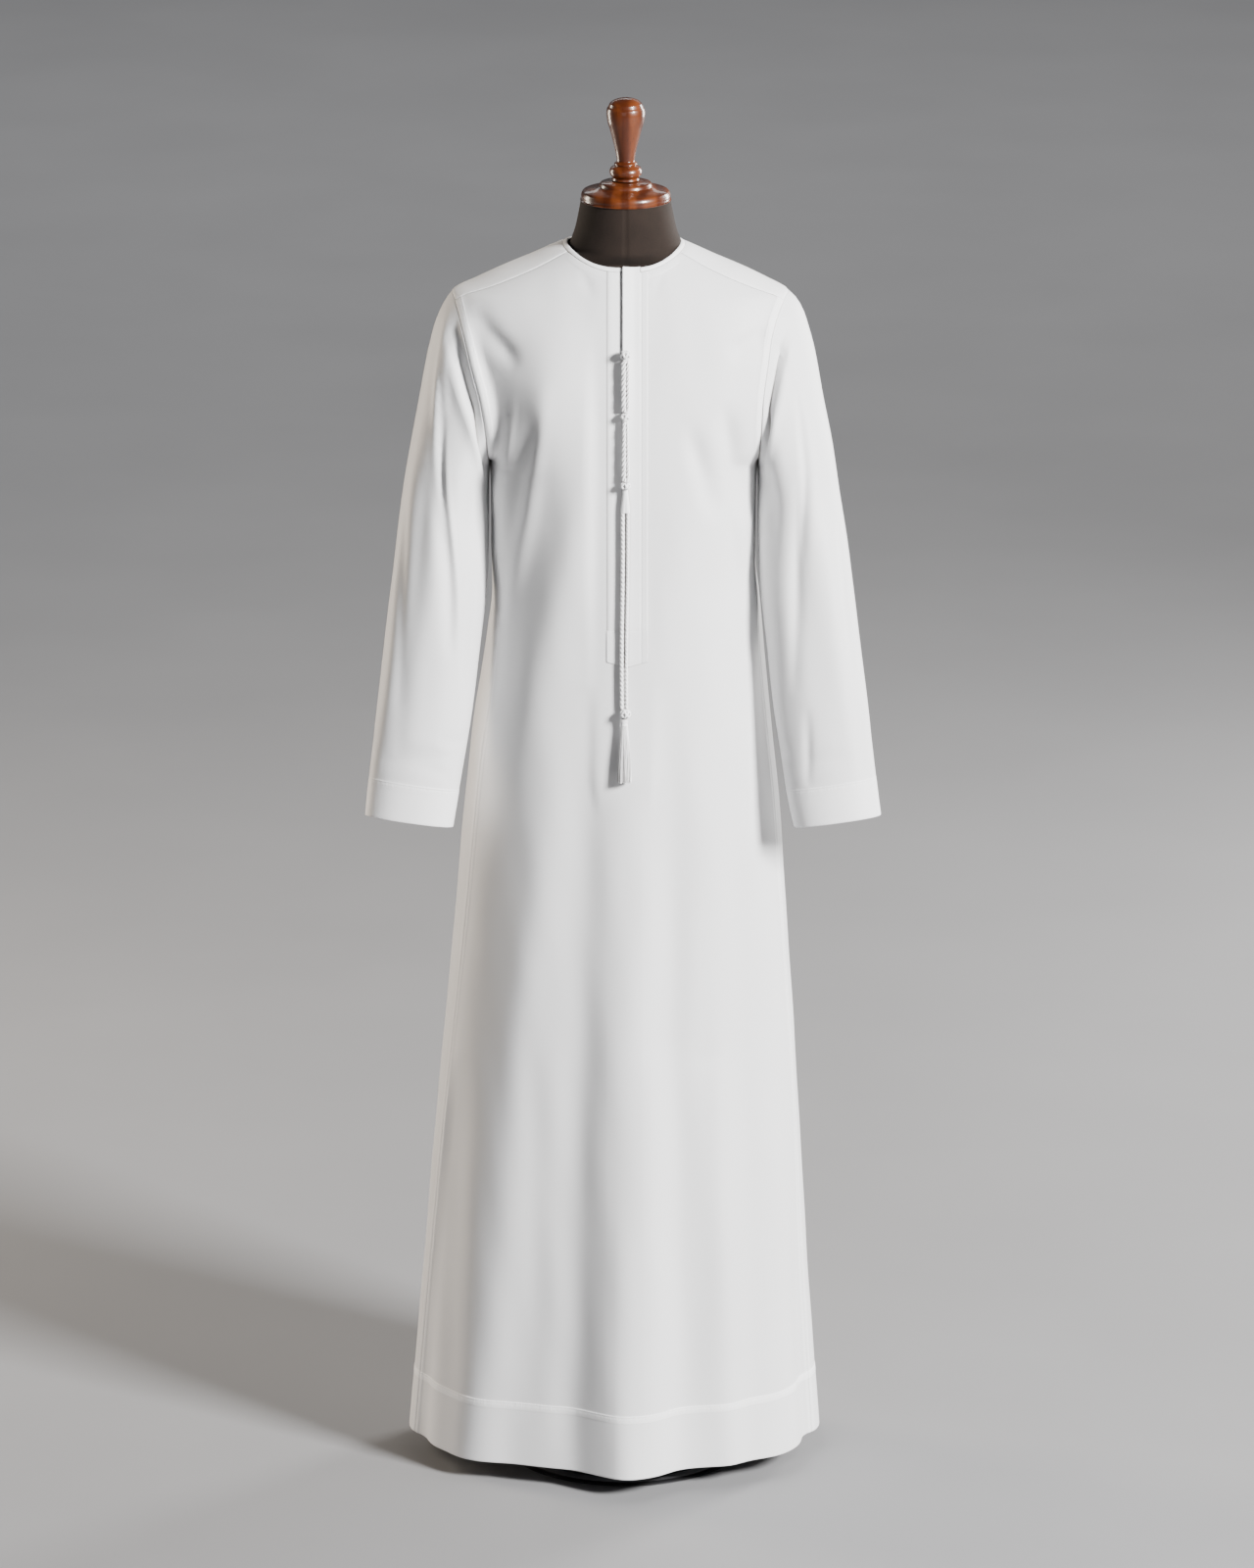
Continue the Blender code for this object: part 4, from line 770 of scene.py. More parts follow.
def shell(name, outer, inner, cells=None, wrap=False, layers=0.0, pucker=0.0):
    """A closed wall of cloth between two grids."""
    rows, columns = outer.shape[:2]
    full = rows * columns
    index = np.arange(full).reshape(rows, columns)
    if wrap:
        index = np.concatenate([index, index[:, :1]], axis=1)
    if cells is None:
        cells = np.ones((rows - 1, index.shape[1] - 1), bool)
    corners = (index[:-1, :-1], index[:-1, 1:], index[1:, 1:], index[1:, :-1])
    front = np.stack(corners, axis=-1)[cells]
    faces = [front, front[:, ::-1] + full]
    padded = np.pad(cells, 1)
    if wrap:
        padded[1:-1, 0] = cells[:, -1]
        padded[1:-1, -1] = cells[:, 0]
    beyond = (padded[:-2, 1:-1], padded[1:-1, 2:], padded[2:, 1:-1], padded[1:-1, :-2])
    for side in range(4):
        edge = cells & ~beyond[side]
        start, end = corners[side][edge], corners[(side + 1) % 4][edge]
        faces.append(np.stack([end, start, start + full, end + full], axis=-1))
    faces = np.concatenate(faces)
    points = np.concatenate([outer.reshape(-1, 3), inner.reshape(-1, 3)])
    face = points[front[len(front) // 2]]
    below = points[front[len(front) // 2][0] + full]
    if np.cross(face[1] - face[0], face[3] - face[0]) @ (face[0] - below) < 0:
        faces = faces[:, ::-1]
    used, faces = np.unique(faces, return_inverse=True)
    obj = link_mesh(name, points[used], faces.reshape(-1, 4), CLOTH_LOOK)
    run = arc(outer)
    flat = np.stack([run, arc(outer, 0), 0 * run], axis=-1).reshape(-1, 3)
    both = [np.tile(np.broadcast_to(value, (rows, columns)).ravel(), 2)[used] for value in (layers, pucker)]
    add_values(obj, weave=np.tile(flat, (2, 1))[used], layers=both[0], pucker=both[1])
    return obj


def spans_of(length, first, last, cells):
    """Distances along stretches of several lengths: set steps at both ends, even cells between."""
    length = np.asarray(length, float)[:, None]
    first, last = np.asarray(first)[None], np.asarray(last)[None]
    low = first[:, -1:] + 0 * length
    high = length - last[:, -1:]
    between = low + (high - low) * np.linspace(0, 1, cells + 1)[None, 1:-1]
    return np.concatenate([first + 0 * length, between, length - last[:, ::-1]], axis=1)


def sample_rows(values, distance, wanted):
    """Reads several grids at wanted distances along each row."""
    return [np.array([np.interp(*row) for row in zip(wanted, distance, value)]) for value in values]


def crease_height(flat, line, left, right, height):
    """A trough or ridge along a line: widths to its two sides differ, and it runs out at its ends."""
    best = np.full(flat.shape[:-1], 1e9)
    side, run = np.zeros(best.shape), np.zeros(best.shape)
    count = len(line) - 1
    for k in range(count):
        along = line[k + 1] - line[k]
        away = flat - line[k]
        share = np.clip((away @ along) / (along @ along), 0, 1)
        distance = np.linalg.norm(away - share[..., None] * along, axis=-1)
        nearer = distance < best
        best = np.where(nearer, distance, best)
        side = np.where(nearer, away[..., 0] * along[1] - away[..., 1] * along[0], side)
        run = np.where(nearer, (k + share) / count, run)
    # The lines run downwards, so a negative cross product lies on the viewer's right.
    width = np.where(side > 0, left, right)
    # A broad crease that ends on the cloth fades out slowly, so that no edge shows across its end.
    power = 1.6 if max(left, right) > BROAD_CREASE and line[-1][1] > 0 else 0.7
    ends = np.clip(np.sin(np.pi * np.clip(run, 0, 1)), 0, 1) ** power
    return height * bell(best, width) * ends


def add_creases(total, rows, key, flat, long=None):
    """Adds a table's creases of one panel, or of one sleeve as long as this. Their lines are curves."""
    share = np.linspace(0, 1, 40)[:, None]
    for row in rows[rows[:, 0] == key]:
        p0, p1, p2 = row[1:7].reshape(3, 2)
        line = p0 * (1 - share) ** 2 + 2 * p1 * share * (1 - share) + p2 * share**2
        if long:
            line = np.stack([np.radians(line[:, 0]) * SLEEVE_TURN_SIZE, line[:, 1] * -long], axis=-1)
        total = total + crease_height(flat, line, *row[7:])
    return total


def undulation(x, z):
    """The slight unevenness of hanging cloth."""
    waves = 0.00030 * np.sin(61.0 * x + 9.0 * z + 0.4) * np.sin(17.0 * z + 1.1)
    waves = waves + 0.00022 * np.sin(-93.0 * x + 21.0 * z + 2.0)
    return waves + 0.00016 * np.sin(37.0 * x - 46.0 * z + 0.9) + 0.00010 * np.sin(150.0 * x + 30.0 * z)


def cloth_thickness(from_edge, hem=0.0):
    """A wall that thins out towards its seams and is doubled at its hem."""
    thick = SEAM_THICK + (WALL - SEAM_THICK) * ease(from_edge, 0.0, 0.004)
    return thick + (HEM_WALL - thick) * hem


def rounded(thick, distance):
    """Half the lost thickness of a folded edge at a distance from it."""
    share = np.clip(distance / EDGE_ROUND, 0, 1)
    return thick / 2 * (1 - np.sqrt(1 - (1 - share) ** 2))


# ---------------------------------------------------------------- stitching

STITCH_FACES = ((0, 1, 2), (0, 2, 3), (0, 3, 4), (0, 4, 1), (5, 2, 1), (5, 3, 2), (5, 4, 3), (5, 1, 4))


def sew(line, normals, pitch=STITCH_PITCH, size=1.0):
    """Small stitches along a line, six points each."""
    travel = travel_along(line)
    places = np.arange(pitch / 2, travel[-1], pitch)

    def at_places(values, shift=0.0):
        return np.stack([np.interp(places + shift, travel, values[:, k]) for k in range(3)], axis=-1)

    up = unit(at_places(normals))
    along = unit(at_places(line, STITCH_REACH) - at_places(line, -STITCH_REACH))
    side = unit(np.cross(up, along)) * (STITCH_THICK * size)
    at, up, along = at_places(line), up * (STITCH_THICK * size), along * STITCH_LONG
    return np.stack([at - along, at - side, at + up, at + side, at - up, at + along], axis=1)


def make_cloth(name, points, normals, height, depth, seams, loose=(), more=(), **values):
    """A piece of cloth, from a height over its points to a depth under them, and the mesh of its stitches.

    The stitches run along parts of its outer grid, the loose ones a little wider, and more are given.
    """
    outer = points + normals * height[..., None]
    inner = points - normals * np.asarray(depth)[..., None]
    cloth = settle(shell(name + "_cloth", outer, inner, **values), name)
    stitches = [sew(outer[at], normals[at]) for at in seams]
    stitches += [sew(outer[at], normals[at], pitch=STITCH_PITCH * 1.02) for at in loose]
    stitches = np.concatenate(stitches + list(more))
    faces = 6 * np.arange(len(stitches))[:, None, None] + np.array(STITCH_FACES)
    thread = link_mesh("stitches_" + name, stitches.reshape(-1, 3), faces.reshape(-1, 3), THREAD_LOOK)
    return cloth, settle(thread)


def both_columns(steps, place):
    """The column at a distance from a grid's start, and the same from its end."""
    column = int(np.argmin(np.abs(np.array(steps) - place)))
    return column, -1 - column


# ---------------------------------------------------------------- panels


def dense_top(back, columns):
    """The panel's top edge, from the wearer's right armhole to the left one."""
    cells = columns[-1]
    left = yoke_seam(-1, np.clip(1 - columns / CORNER, 0, 1), back)
    right = yoke_seam(1, np.clip((columns - (cells - CORNER)) / CORNER, 0, 1), back)
    if back:
        knots = ([CORNER, cells - CORNER], [-YOKE_NECK_X, YOKE_NECK_X])
    else:
        knots = ([CORNER, 12, 13, 14, cells - CORNER],
                 [-YOKE_NECK_X, SLIT_LEFT, OVER_EDGE, SLIT_RIGHT, YOKE_NECK_X])
    inner = np.interp(columns, *knots)
    on_left, on_right = columns < CORNER, columns > cells - CORNER
    xs = np.where(on_left, left[0], np.where(on_right, right[0], inner))
    ys = np.where(on_left, left[1], np.where(on_right, right[1], seam_y(inner, back)))
    heights = height_over(xs, ys)
    heights[[0, -1]] = YOKE_ARM_Z
    return xs, heights


def lower_heights():
    """Heights of the fine rows below the underarm, and the row where the slit starts."""
    low = HEM_Z + np.array(HEM_STEPS)
    strip = HEM_TOP + np.array(STRIP_STEPS)
    slit = SLIT_Z - SEAM / 2
    rows = np.concatenate([low, np.linspace(low[-1], strip[0], 12)[1:-1], strip,
                           np.linspace(strip[-1], CLOSE_Z, 112)[1:], np.linspace(CLOSE_Z, slit, 17)[1:]])
    return np.concatenate([rows, np.linspace(slit, UNDERARM_Z, 31)[1:]]), len(rows) - 1


def fine_panel(back):
    """Turns, heights and edge distances of a fine grid over one panel, and its columns' counts."""
    bounds = BACK_BOUNDS if back else FRONT_BOUNDS
    cells = bounds[-1]
    columns = np.linspace(0, cells, cells * SUB_COLUMNS + 1)
    rows, slit_row = lower_heights()
    sides = [side_turn(side, rows) for side in (-1, 1)]
    if back:
        turns = mixed(sides[0][:, None], (sides[1] - 360)[:, None], columns / cells)
    else:
        stops = [sides[0], *(turn_at(x, rows) for x in (SLIT_LEFT, OVER_EDGE, SLIT_RIGHT)), sides[1]]
        turns = np.array([np.interp(columns, [0, 12, 13, 14, cells], row) for row in np.transpose(stops)])
    top_x, top_z = dense_top(back, columns)
    low_x = plain_point(turns[-1], UNDERARM_Z + 0 * turns[-1])[:, 0]
    tall = (top_z - UNDERARM_Z) * 1.03
    wanted = spans_of(tall, (0.0,), TOP_STEPS, 44)
    share = (wanted / tall[:, None]).T[1:]
    high_x, high_z = mixed(low_x, top_x, share), mixed(UNDERARM_Z, top_z, share)
    across = 2 * columns / cells - 1
    for end, side in ((0, -1), (-1, 1)):
        miss = read_side(ARMHOLE, side, high_z[:, end]) - high_x[:, end]
        high_x = high_x + miss[:, None] * np.clip(side * across, 0, 1) ** 3
    high = turn_at(high_x, high_z, back)
    if back:
        high = np.where(high > 0, high - 360, high)
    turns = np.concatenate([turns, high])
    heights = np.concatenate([np.repeat(rows[:, None], len(columns), axis=1), high_z])
    from_top = np.concatenate([np.full((len(rows), len(columns)), 1.0), tall[None] - wanted.T[1:]])
    distance = arc(plain_point(turns, heights))
    even = (0.0,)
    plan = [(EDGE_STEPS, even, 24), (even, even, 22), (even, EDGE_STEPS, 24)]
    if not back:
        plan[1:2] = [(even, SLIT_STEPS, 11), (even, even, 10), (SLIT_STEPS, even, 11)]
    parts = []
    for k, (first, last, count) in enumerate(plan):
        start, end = (distance[:, bound * SUB_COLUMNS] for bound in bounds[k : k + 2])
        part = spans_of(end - start, first, last, count) + start[:, None]
        # Two stretches share the column between them, save at the slit's sides.
        shared = k and len(first) == 1 and len(plan[k - 1][1]) == 1
        parts.append(part[:, 1:] if shared else part)
    wanted = np.concatenate(parts, axis=1)
    turn, z, from_top = sample_rows([turns, heights, from_top], distance, wanted)
    from_side = np.minimum(wanted, distance[:, -1:] - wanted)
    return turn, z, from_top, from_side, [part.shape[1] for part in parts], slit_row, len(rows) - 1


def make_panel(name, back):
    turn, z, top, side, counts, slit_row, under = fine_panel(back)
    plain = plain_point(turn, z)
    x = plain[..., 0]
    from_edge = np.minimum(side, top)
    placket = 1.0 if back else np.clip(ease(np.abs(x), 0.030, 0.045) + ease(z, 0.90, 0.84), 0, 1)
    creases = add_creases(np.zeros(x.shape), CREASES, int(back), plain[..., [0, 2]])
    uneven = (creases * placket + undulation(x, z) * placket) * ease(from_edge, 0.003, 0.018)
    points = plain + normal_at(turn, z) * (fold_depth(turn, z) + uneven)[..., None]
    normals = grid_normals(points)
    normals = normals * np.sign(np.sum(normals * plain * (1, 1, 0), axis=-1).mean())
    upper = ease(z, UNDERARM_Z - 0.004, UNDERARM_Z + 0.004)
    above_hem = z - HEM_TOP
    hem = ease(above_hem, 0.0008, -0.0006)
    strip = ease(above_hem, STRIP_LOW - 0.0006, STRIP_LOW + 0.0008) * hem
    facing = ease(top, FACING_STITCH + 0.0010, FACING_STITCH)
    facing = facing * ease(np.abs(x), YOKE_NECK_X, YOKE_NECK_X - 0.004)
    band = BAND_RISE * (1 - ease(side, ARM_BAND - 0.0004, ARM_BAND + 0.0006)) * upper
    band = band + BAND_RISE * 0.7 * (1 - ease(side, SIDE_BAND - 0.0002, SIDE_BAND + 0.0008)) * (1 - upper)
    height = -0.0005 * bump_at(from_edge, 0.0, 0.0009) + band - GROOVE * bump_at(side, ARM_STITCH) * upper
    height = height - GROOVE * 0.8 * sum(bump_at(side, place) for place in SIDE_STITCHES) * (1 - upper)
    height = height + 0.00020 * facing - GROOVE * 0.7 * bump_at(top, FACING_STITCH) * (facing > 0)
    height = height + HEM_RISE * hem + 0.00020 * strip - GROOVE * bump_at(above_hem, HEM_STITCH)
    bottom = rounded(HEM_WALL, z - HEM_Z)
    cells = np.ones((z.shape[0] - 1, z.shape[1] - 1), bool)
    slit = sum(counts[:2]) - 1
    if not back:
        cells[slit_row:, slit : slit + counts[2] + 1] = False
    layers = np.clip(0.12 * hem + 0.70 * strip + 0.25 * facing + band / BAND_RISE * 0.5, 0, 1)
    pucker = np.clip(bump_at(above_hem, HEM_STITCH, 0.004) + bump_at(side, ARM_STITCH, 0.003) * upper, 0, 1)
    pucker = np.clip(pucker + sum(bump_at(side, at, 0.002) for at in SIDE_STITCHES) * (1 - upper), 0, 1)
    seams = [np.s_[np.argmin(np.abs(z[:, 0] - (HEM_TOP + HEM_STITCH)))]]
    seams += [np.s_[under:, column] for column in both_columns(EDGE_STEPS, ARM_STITCH)]
    seams += [np.s_[3:under, column] for at in SIDE_STITCHES for column in both_columns(EDGE_STEPS, at)]
    row = both_columns(TOP_STEPS, FACING_STITCH)[1]
    stretches = [(counts[0] - 1, slit + 1)] if back else [(counts[0] - 1, slit), (sum(counts[:3]), sum(counts[:4]))]
    seams += [np.s_[row, start:end] for start, end in stretches]
    return make_cloth(name, points, normals, height - bottom, cloth_thickness(from_edge, hem) - bottom, seams,
                      cells=cells, layers=layers, pucker=pucker)


# ---------------------------------------------------------------- sleeves


def armhole_top(side):
    """The armhole's stretch over the shoulder, from front to back."""
    front, behind = (float(plain_point(armhole_turn(side, np.full(1, YOKE_ARM_Z), back), YOKE_ARM_Z)[0, 1])
                     for back in (False, True))
    y = np.linspace(front, behind, 61)[1:-1]
    z = TIP_Z - (TIP_Z - YOKE_ARM_Z) * (y / front) ** 2 * np.where(y < 0, 1, (front / behind) ** 2)
    return turn_height(read_side(ARMHOLE, side, z), y)


def fine_loop(side):
    """Even points round the armhole from the underarm."""
    z = UNDERARM_Z + (YOKE_ARM_Z - UNDERARM_Z) * np.linspace(0, 1, 120)
    front, behind = armhole_turn(side, z), armhole_turn(side, z, back=True)
    front[0] = behind[0] = side * 90.0
    over_turn, over_z = armhole_top(side)
    turns = np.concatenate([front, over_turn, behind[:0:-1]])
    heights = np.concatenate([z, over_z, z[:0:-1]])
    flat = body_point(turns, heights)
    travel = travel_along(np.concatenate([flat, flat[:1]]))
    wanted = np.linspace(0, travel[-1], SLEEVE_AROUND, endpoint=False)
    turns = np.append(turns, turns[-1] + (side * 90.0 - turns[-1] + 180) % 360 - 180)
    turns = np.unwrap(np.radians(turns))
    return np.degrees(np.interp(wanted, travel, turns)), np.interp(wanted, travel, np.append(heights, heights[0]))


def make_sleeve(name, side):
    loop = body_point(*fine_loop(side))
    angles = sleeve_angles(side, loop)
    angles[0] = math.pi
    last = len(SLEEVE_RINGS) - 1
    at = np.linspace(0, last, SLEEVE_ALONG + 1)
    table_rows = np.column_stack([np.arange(last + 1), SLEEVE_RINGS])
    rings = np.stack([read(table_rows, column, at) for column in (1, 2, 3, 4)], axis=-1)
    rows = np.array([sleeve_ring(side, *ring, angles) for ring in rings])
    travel = travel_along(rows.mean(axis=1))
    travel = travel / travel[-1]
    grid = rows + (loop - rows[0])[None] * (1 - fade(travel / SEAM_FADE))[:, None, None]
    around = np.degrees(angles)
    distance = arc(grid, 0)
    cuff = distance[int(round(CUFF_RING / last * SLEEVE_ALONG))]
    first = spans_of(cuff, ARMHOLE_STEPS, ABOVE_CUFF_STEPS, 62)
    second = spans_of(distance[-1] - cuff, BELOW_CUFF_STEPS, HEM_STEPS, 7)
    wanted = np.concatenate([first, second[:, 1:] + cuff[:, None]], axis=1)
    values = [grid[..., k].T for k in range(3)] + [np.repeat(travel[None], SLEEVE_AROUND, axis=0)]
    fine = np.stack(sample_rows(values, distance.T, wanted), axis=-1).transpose(1, 0, 2)
    points, way = fine[..., :3], fine[..., 3]
    from_arm, from_cuff, from_end = wanted.T, (wanted - cuff[:, None]).T, (distance[-1][:, None] - wanted).T
    height = np.zeros(way.shape)
    for _, turn, width, start, end, depth in SLEEVE_FOLDS[SLEEVE_FOLDS[:, 0] == side]:
        ends = fade((way - start) / 0.12) * fade((end - way) / 0.25 + 0.2)
        height = height + FOLD_KEEP * depth * ends * bell(wrapped(around - turn), width)
    long = float(np.mean(distance[-1]))
    flat = np.stack([np.radians(around)[None] * SLEEVE_TURN_SIZE + 0 * way, way * -long], axis=-1)
    height = add_creases(height, SLEEVE_CREASES, side, flat, long)
    height = height + undulation(flat[..., 0] * 0.9, flat[..., 1])
    calm = ease(from_arm, 0.001, 0.008) * ease(from_cuff, 0.006, -0.006) + 0.35 * ease(from_cuff, -0.006, 0.006)
    points = points + tube_normals(points) * (height * calm)[..., None]
    normals = tube_normals(points)
    hem = ease(from_cuff, -0.0008, 0.0006)
    height = -0.0005 * bump_at(from_arm, 0.0, 0.0009) + HEM_RISE * hem - GROOVE * bump_at(from_cuff, CUFF_STITCH)
    bottom = rounded(HEM_WALL, from_end)
    around_cuff = np.s_[first.shape[1] + 2, np.append(np.arange(SLEEVE_AROUND), 0)]
    return make_cloth(name, points, normals, height - bottom, cloth_thickness(from_arm, hem) - bottom,
                      [around_cuff, np.s_[3:-3, 0]], [np.s_[3:-3, 1]], wrap=True,
                      layers=0.35 * hem + 0.4 * ease(from_arm, 0.004, 0.0),
                      pucker=np.clip(bump_at(from_cuff, CUFF_STITCH, 0.004) + bump_at(from_arm, 0.0, 0.004), 0, 1))


# ---------------------------------------------------------------- yokes and binding


def fine_spread(length, cells):
    return spans_of([length], YOKE_STEPS, YOKE_STEPS, cells)[0] / length


def make_yoke(name, side):
    shares, across = fine_spread(YOKE_LONG, 26), fine_spread(YOKE_WIDE, 18)
    front, behind = (yoke_seam(side, shares, back) for back in (False, True))
    x, y = (mixed(front[k][:, None], behind[k][:, None], across) for k in (0, 1))
    neck_y = yoke_neck_y(2)
    neck_y = neck_y[0] + (neck_y[-1] - neck_y[0]) * across
    fit = np.clip(1 - shares * CORNER, 0, 1)[:, None]
    x = x + fit * (side * seam_x(neck_y) - x[:1])
    y = y + fit * (neck_y - y[:1])
    ends = [np.array(yoke_seam(side, 1.0, back)) for back in (False, True)]
    arm = np.vstack([ends[0], plain_point(*armhole_top(side))[:, :2], ends[1]])
    order = np.argsort(arm[:, 1])
    arm_y = ends[0][1] + (ends[1][1] - ends[0][1]) * across
    fit = np.clip(1 - (1 - shares) * CORNER, 0, 1)[:, None]
    x = x + fit * (np.interp(arm_y, arm[order, 1], arm[order, 0]) - x[-1:])
    y = y + fit * (arm_y - y[-1:])
    points = body_point(*turn_height(x, y))
    normals = grid_normals(points)
    normals = normals * np.sign(normals[..., 2].mean())
    run, over = arc(points, 0), arc(points)
    edge_run = np.minimum(run, run[-1:] - run) + YOKE_STEPS[0]
    edge_over = np.minimum(over, over[:, -1:] - over) + YOKE_STEPS[0]
    from_edge = np.minimum(edge_run, edge_over)
    height = 0.00045 - 0.0009 * bump_at(from_edge, 0.0, 0.0008) - GROOVE * bump_at(edge_over, YOKE_STITCH)
    height = height - GROOVE * bump_at(edge_run, YOKE_STITCH)
    place = both_columns(YOKE_STEPS, YOKE_STITCH)
    inside = slice(place[0], -place[0])
    seams = [at for line in place for at in (np.s_[inside, line], np.s_[line, inside])]
    return make_cloth(name, points, normals, height, cloth_thickness(from_edge), seams, layers=0.35,
                      pucker=np.clip(bump_at(edge_over, YOKE_STITCH, 0.003), 0, 1))


def make_binding(name):
    near_right = np.linspace(SLIT_RIGHT - SEAM, YOKE_NECK_X, 16)[:-1]
    near_left = np.linspace(-YOKE_NECK_X, OVER_EDGE - SEAM, 22)[1:]
    behind = np.linspace(YOKE_NECK_X, -YOKE_NECK_X, 36)[1:-1]
    y = yoke_neck_y(22)
    x = np.concatenate([near_right, seam_x(y), behind, -seam_x(y)[::-1], near_left])
    y = np.concatenate([seam_y(near_right), y, seam_y(behind, back=True), y[::-1], seam_y(near_left)])
    aside = np.where(y <= 0, np.clip((np.abs(x) - SLIT_RIGHT) / (YOKE_NECK_X - SLIT_RIGHT), 0, 1), 1)
    extra = np.where(y <= 0, BINDING_FRONT, BINDING_BACK)
    points = np.array([
        body_point(*turn_height(x * (1 - aside * share * BINDING_SIDE / LOOP_SIDE),
                                y * ((NECK_DEPTH + extra * (1 - share)) / (NECK_DEPTH + extra))))
        for share in BINDING_SHARES
    ])
    normals = grid_normals(points)
    inside = points.mean(axis=1, keepdims=True)
    normals = normals * np.sign(np.sum(normals * (points - inside), axis=-1).mean())
    full = np.sqrt(np.clip(1 - (2 * BINDING_SHARES - 1) ** 2, 0, 1))[:, None]
    groove = GROOVE * bump_at(BINDING_SHARES, BINDING_SHARES[BINDING_STITCH], 0.08)[:, None]
    height = (BINDING_WALL - WALL) / 2 * full + 0.0002 - groove
    return make_cloth(name, points, normals, height, 0.0004 + WALL * full, [np.s_[BINDING_STITCH]], layers=0.9)


# ---------------------------------------------------------------- placket


def strip_rows(bottom, top, first, last, cells):
    """Heights of a strip's rows between two edges, one column for each x."""
    return bottom[None] + spans_of(top - bottom, first, last, cells).T


def make_under(name):
    xs = np.linspace(SLIT_LEFT + SEAM / 2, SLIT_RIGHT - SEAM / 2, 25)
    top = height_over(xs, seam_y(xs)) - SEAM * 0.7
    bottom = np.full(len(xs), SLIT_Z + SEAM / 2)
    z = strip_rows(bottom, top, UNDER_STEPS, UNDER_STEPS, 80)
    x = np.repeat(xs[None], len(z), axis=0)
    points, normals = front_surface(x, z)
    edge = np.minimum(x - xs[0], xs[-1] - x)
    height = -0.0011 * bump_at(edge, 0.0, 0.0013) - 1.4 * GROOVE * bump_at(x, UNDER_STITCH_X) + 0.0006
    return make_cloth(name, points, normals, height, WALL, [np.s_[1:-1, 2]], layers=0.8, pucker=0.15)


def make_over(name):
    box_left = BOX_LEFT + BOX_INSET
    low, edge, sewn = box_left + FREE_STEPS, OVER_EDGE + FREE_STEPS, OVER_SEWN - SEWN_STEPS
    low = np.append(low, np.linspace(low[-1], OVER_EDGE, 10)[1:-1])
    edge = np.append(edge, np.linspace(edge[-1], sewn[0], 9)[1:-1])
    xs = np.concatenate([low, edge, sewn])
    free = xs <= SLIT_RIGHT - 2 * SEAM
    top_seam = height_over(xs, seam_y(xs)) - WALL
    top_edge = height_over(xs, -neck_depth(xs, NECK_SIDE, NECK_DEPTH))
    middle_x = (BOX_LEFT + OVER_SEWN) / 2
    bottom = BOX_Z - BOX_POINT * (1 - np.abs(xs - middle_x) / (OVER_SEWN - middle_x))
    slit = np.full(len(xs), SLIT_Z)
    box = strip_rows(bottom, slit, BOX_STEPS, (0.0, 0.0008, 0.0018), 9)
    upper = strip_rows(slit, top_seam, (0.0, 0.0006, 0.0014), (0.0, 0.002), 84)[1:]
    tongue = [top_seam + (np.where(free, top_edge, top_seam) - top_seam) * share for share in (0.35, 0.7, 0.9, 1.0)]
    z = np.concatenate([box, upper, tongue])
    x = np.repeat(xs[None], len(z), axis=0)
    cells = np.ones((len(z) - 1, len(xs) - 1), bool)
    # The free edge and the box's left part join only below the slit.
    cells[len(box) - 1 :, : len(low)] = False
    cells[-4:, ~(free[:-1] & free[1:])] = False
    points, normals = front_surface(x, z)
    above = z - SLIT_Z
    in_box = ease(above, 0.0005, -0.0005)
    left_edge = np.where(z < SLIT_Z, x - box_left, x - OVER_EDGE)
    from_edge = np.minimum(np.minimum(left_edge, OVER_SEWN - x), z - bottom[None])
    full = np.clip(np.sqrt(np.clip(1 - (1 - np.clip(from_edge / 0.0010, 0, 1)) ** 2, 0, 1)), 0.25, 1)
    height = WALL * full - 1.3 * GROOVE * bump_at(x, OVER_SEWN - OVER_STITCH)
    height = height - GROOVE * 0.8 * bump_at(above, 0.0)
    height = height - GROOVE * 0.8 * bump_at(from_edge, 0.0018, 0.0005) * in_box
    diagonal = (x - SLANTS[0][0]) * ACROSS_SLANT[0] + (z - SLANTS[0][1]) * ACROSS_SLANT[1]
    height = height - GROOVE * 0.7 * bump_at(diagonal, 0.0) * in_box * ease(x, -0.0035, -0.0055)
    height = height * (1 - 0.55 * in_box * ease(x, OVER_EDGE + 0.004, BOX_MIDDLE))
    corner = ease(above, -0.012, -0.001) * ease(x, OVER_EDGE + 0.002, OVER_EDGE - 0.002)
    height = height * (1 - 0.5 * in_box * corner)
    points = points + normals * (SEAM + lift(x, z))[..., None]
    layers = 0.85 - 0.60 * ease(x, OVER_SEWN - 0.0082, OVER_SEWN - 0.0074) - 0.25 * in_box
    last = len(box) - 1
    seams = [np.s_[3:-5, len(low) + len(edge) + 3], np.s_[3:-5, len(xs) - 3], np.s_[3, 2:-2], np.s_[last, 2:-2],
             np.s_[3:last, 3]]
    more = []
    for x0, z0, x1, z1, off, size in SLANTS:
        share = np.linspace(0, 1, 20)
        line, up = front_surface(x0 + (x1 - x0) * share, z0 + (z1 - z0) * share)
        more.append(sew(line + up * off, up, size=size))
    return make_cloth(name, points, normals, height, 0.0, seams, more=more, cells=cells, layers=layers,
                      pucker=np.clip(bump_at(x, OVER_SEWN - OVER_STITCH, 0.002), 0, 1) * 0.5)


# ---------------------------------------------------------------- farokha


def frame_along(path):
    """Two square directions along a path, the first of them facing the front."""
    along = unit(np.gradient(path, axis=0))
    front = np.array([0.0, -1.0, 0.0])
    front = unit(front - along * (along @ front)[:, None])
    return front, np.cross(along, front)


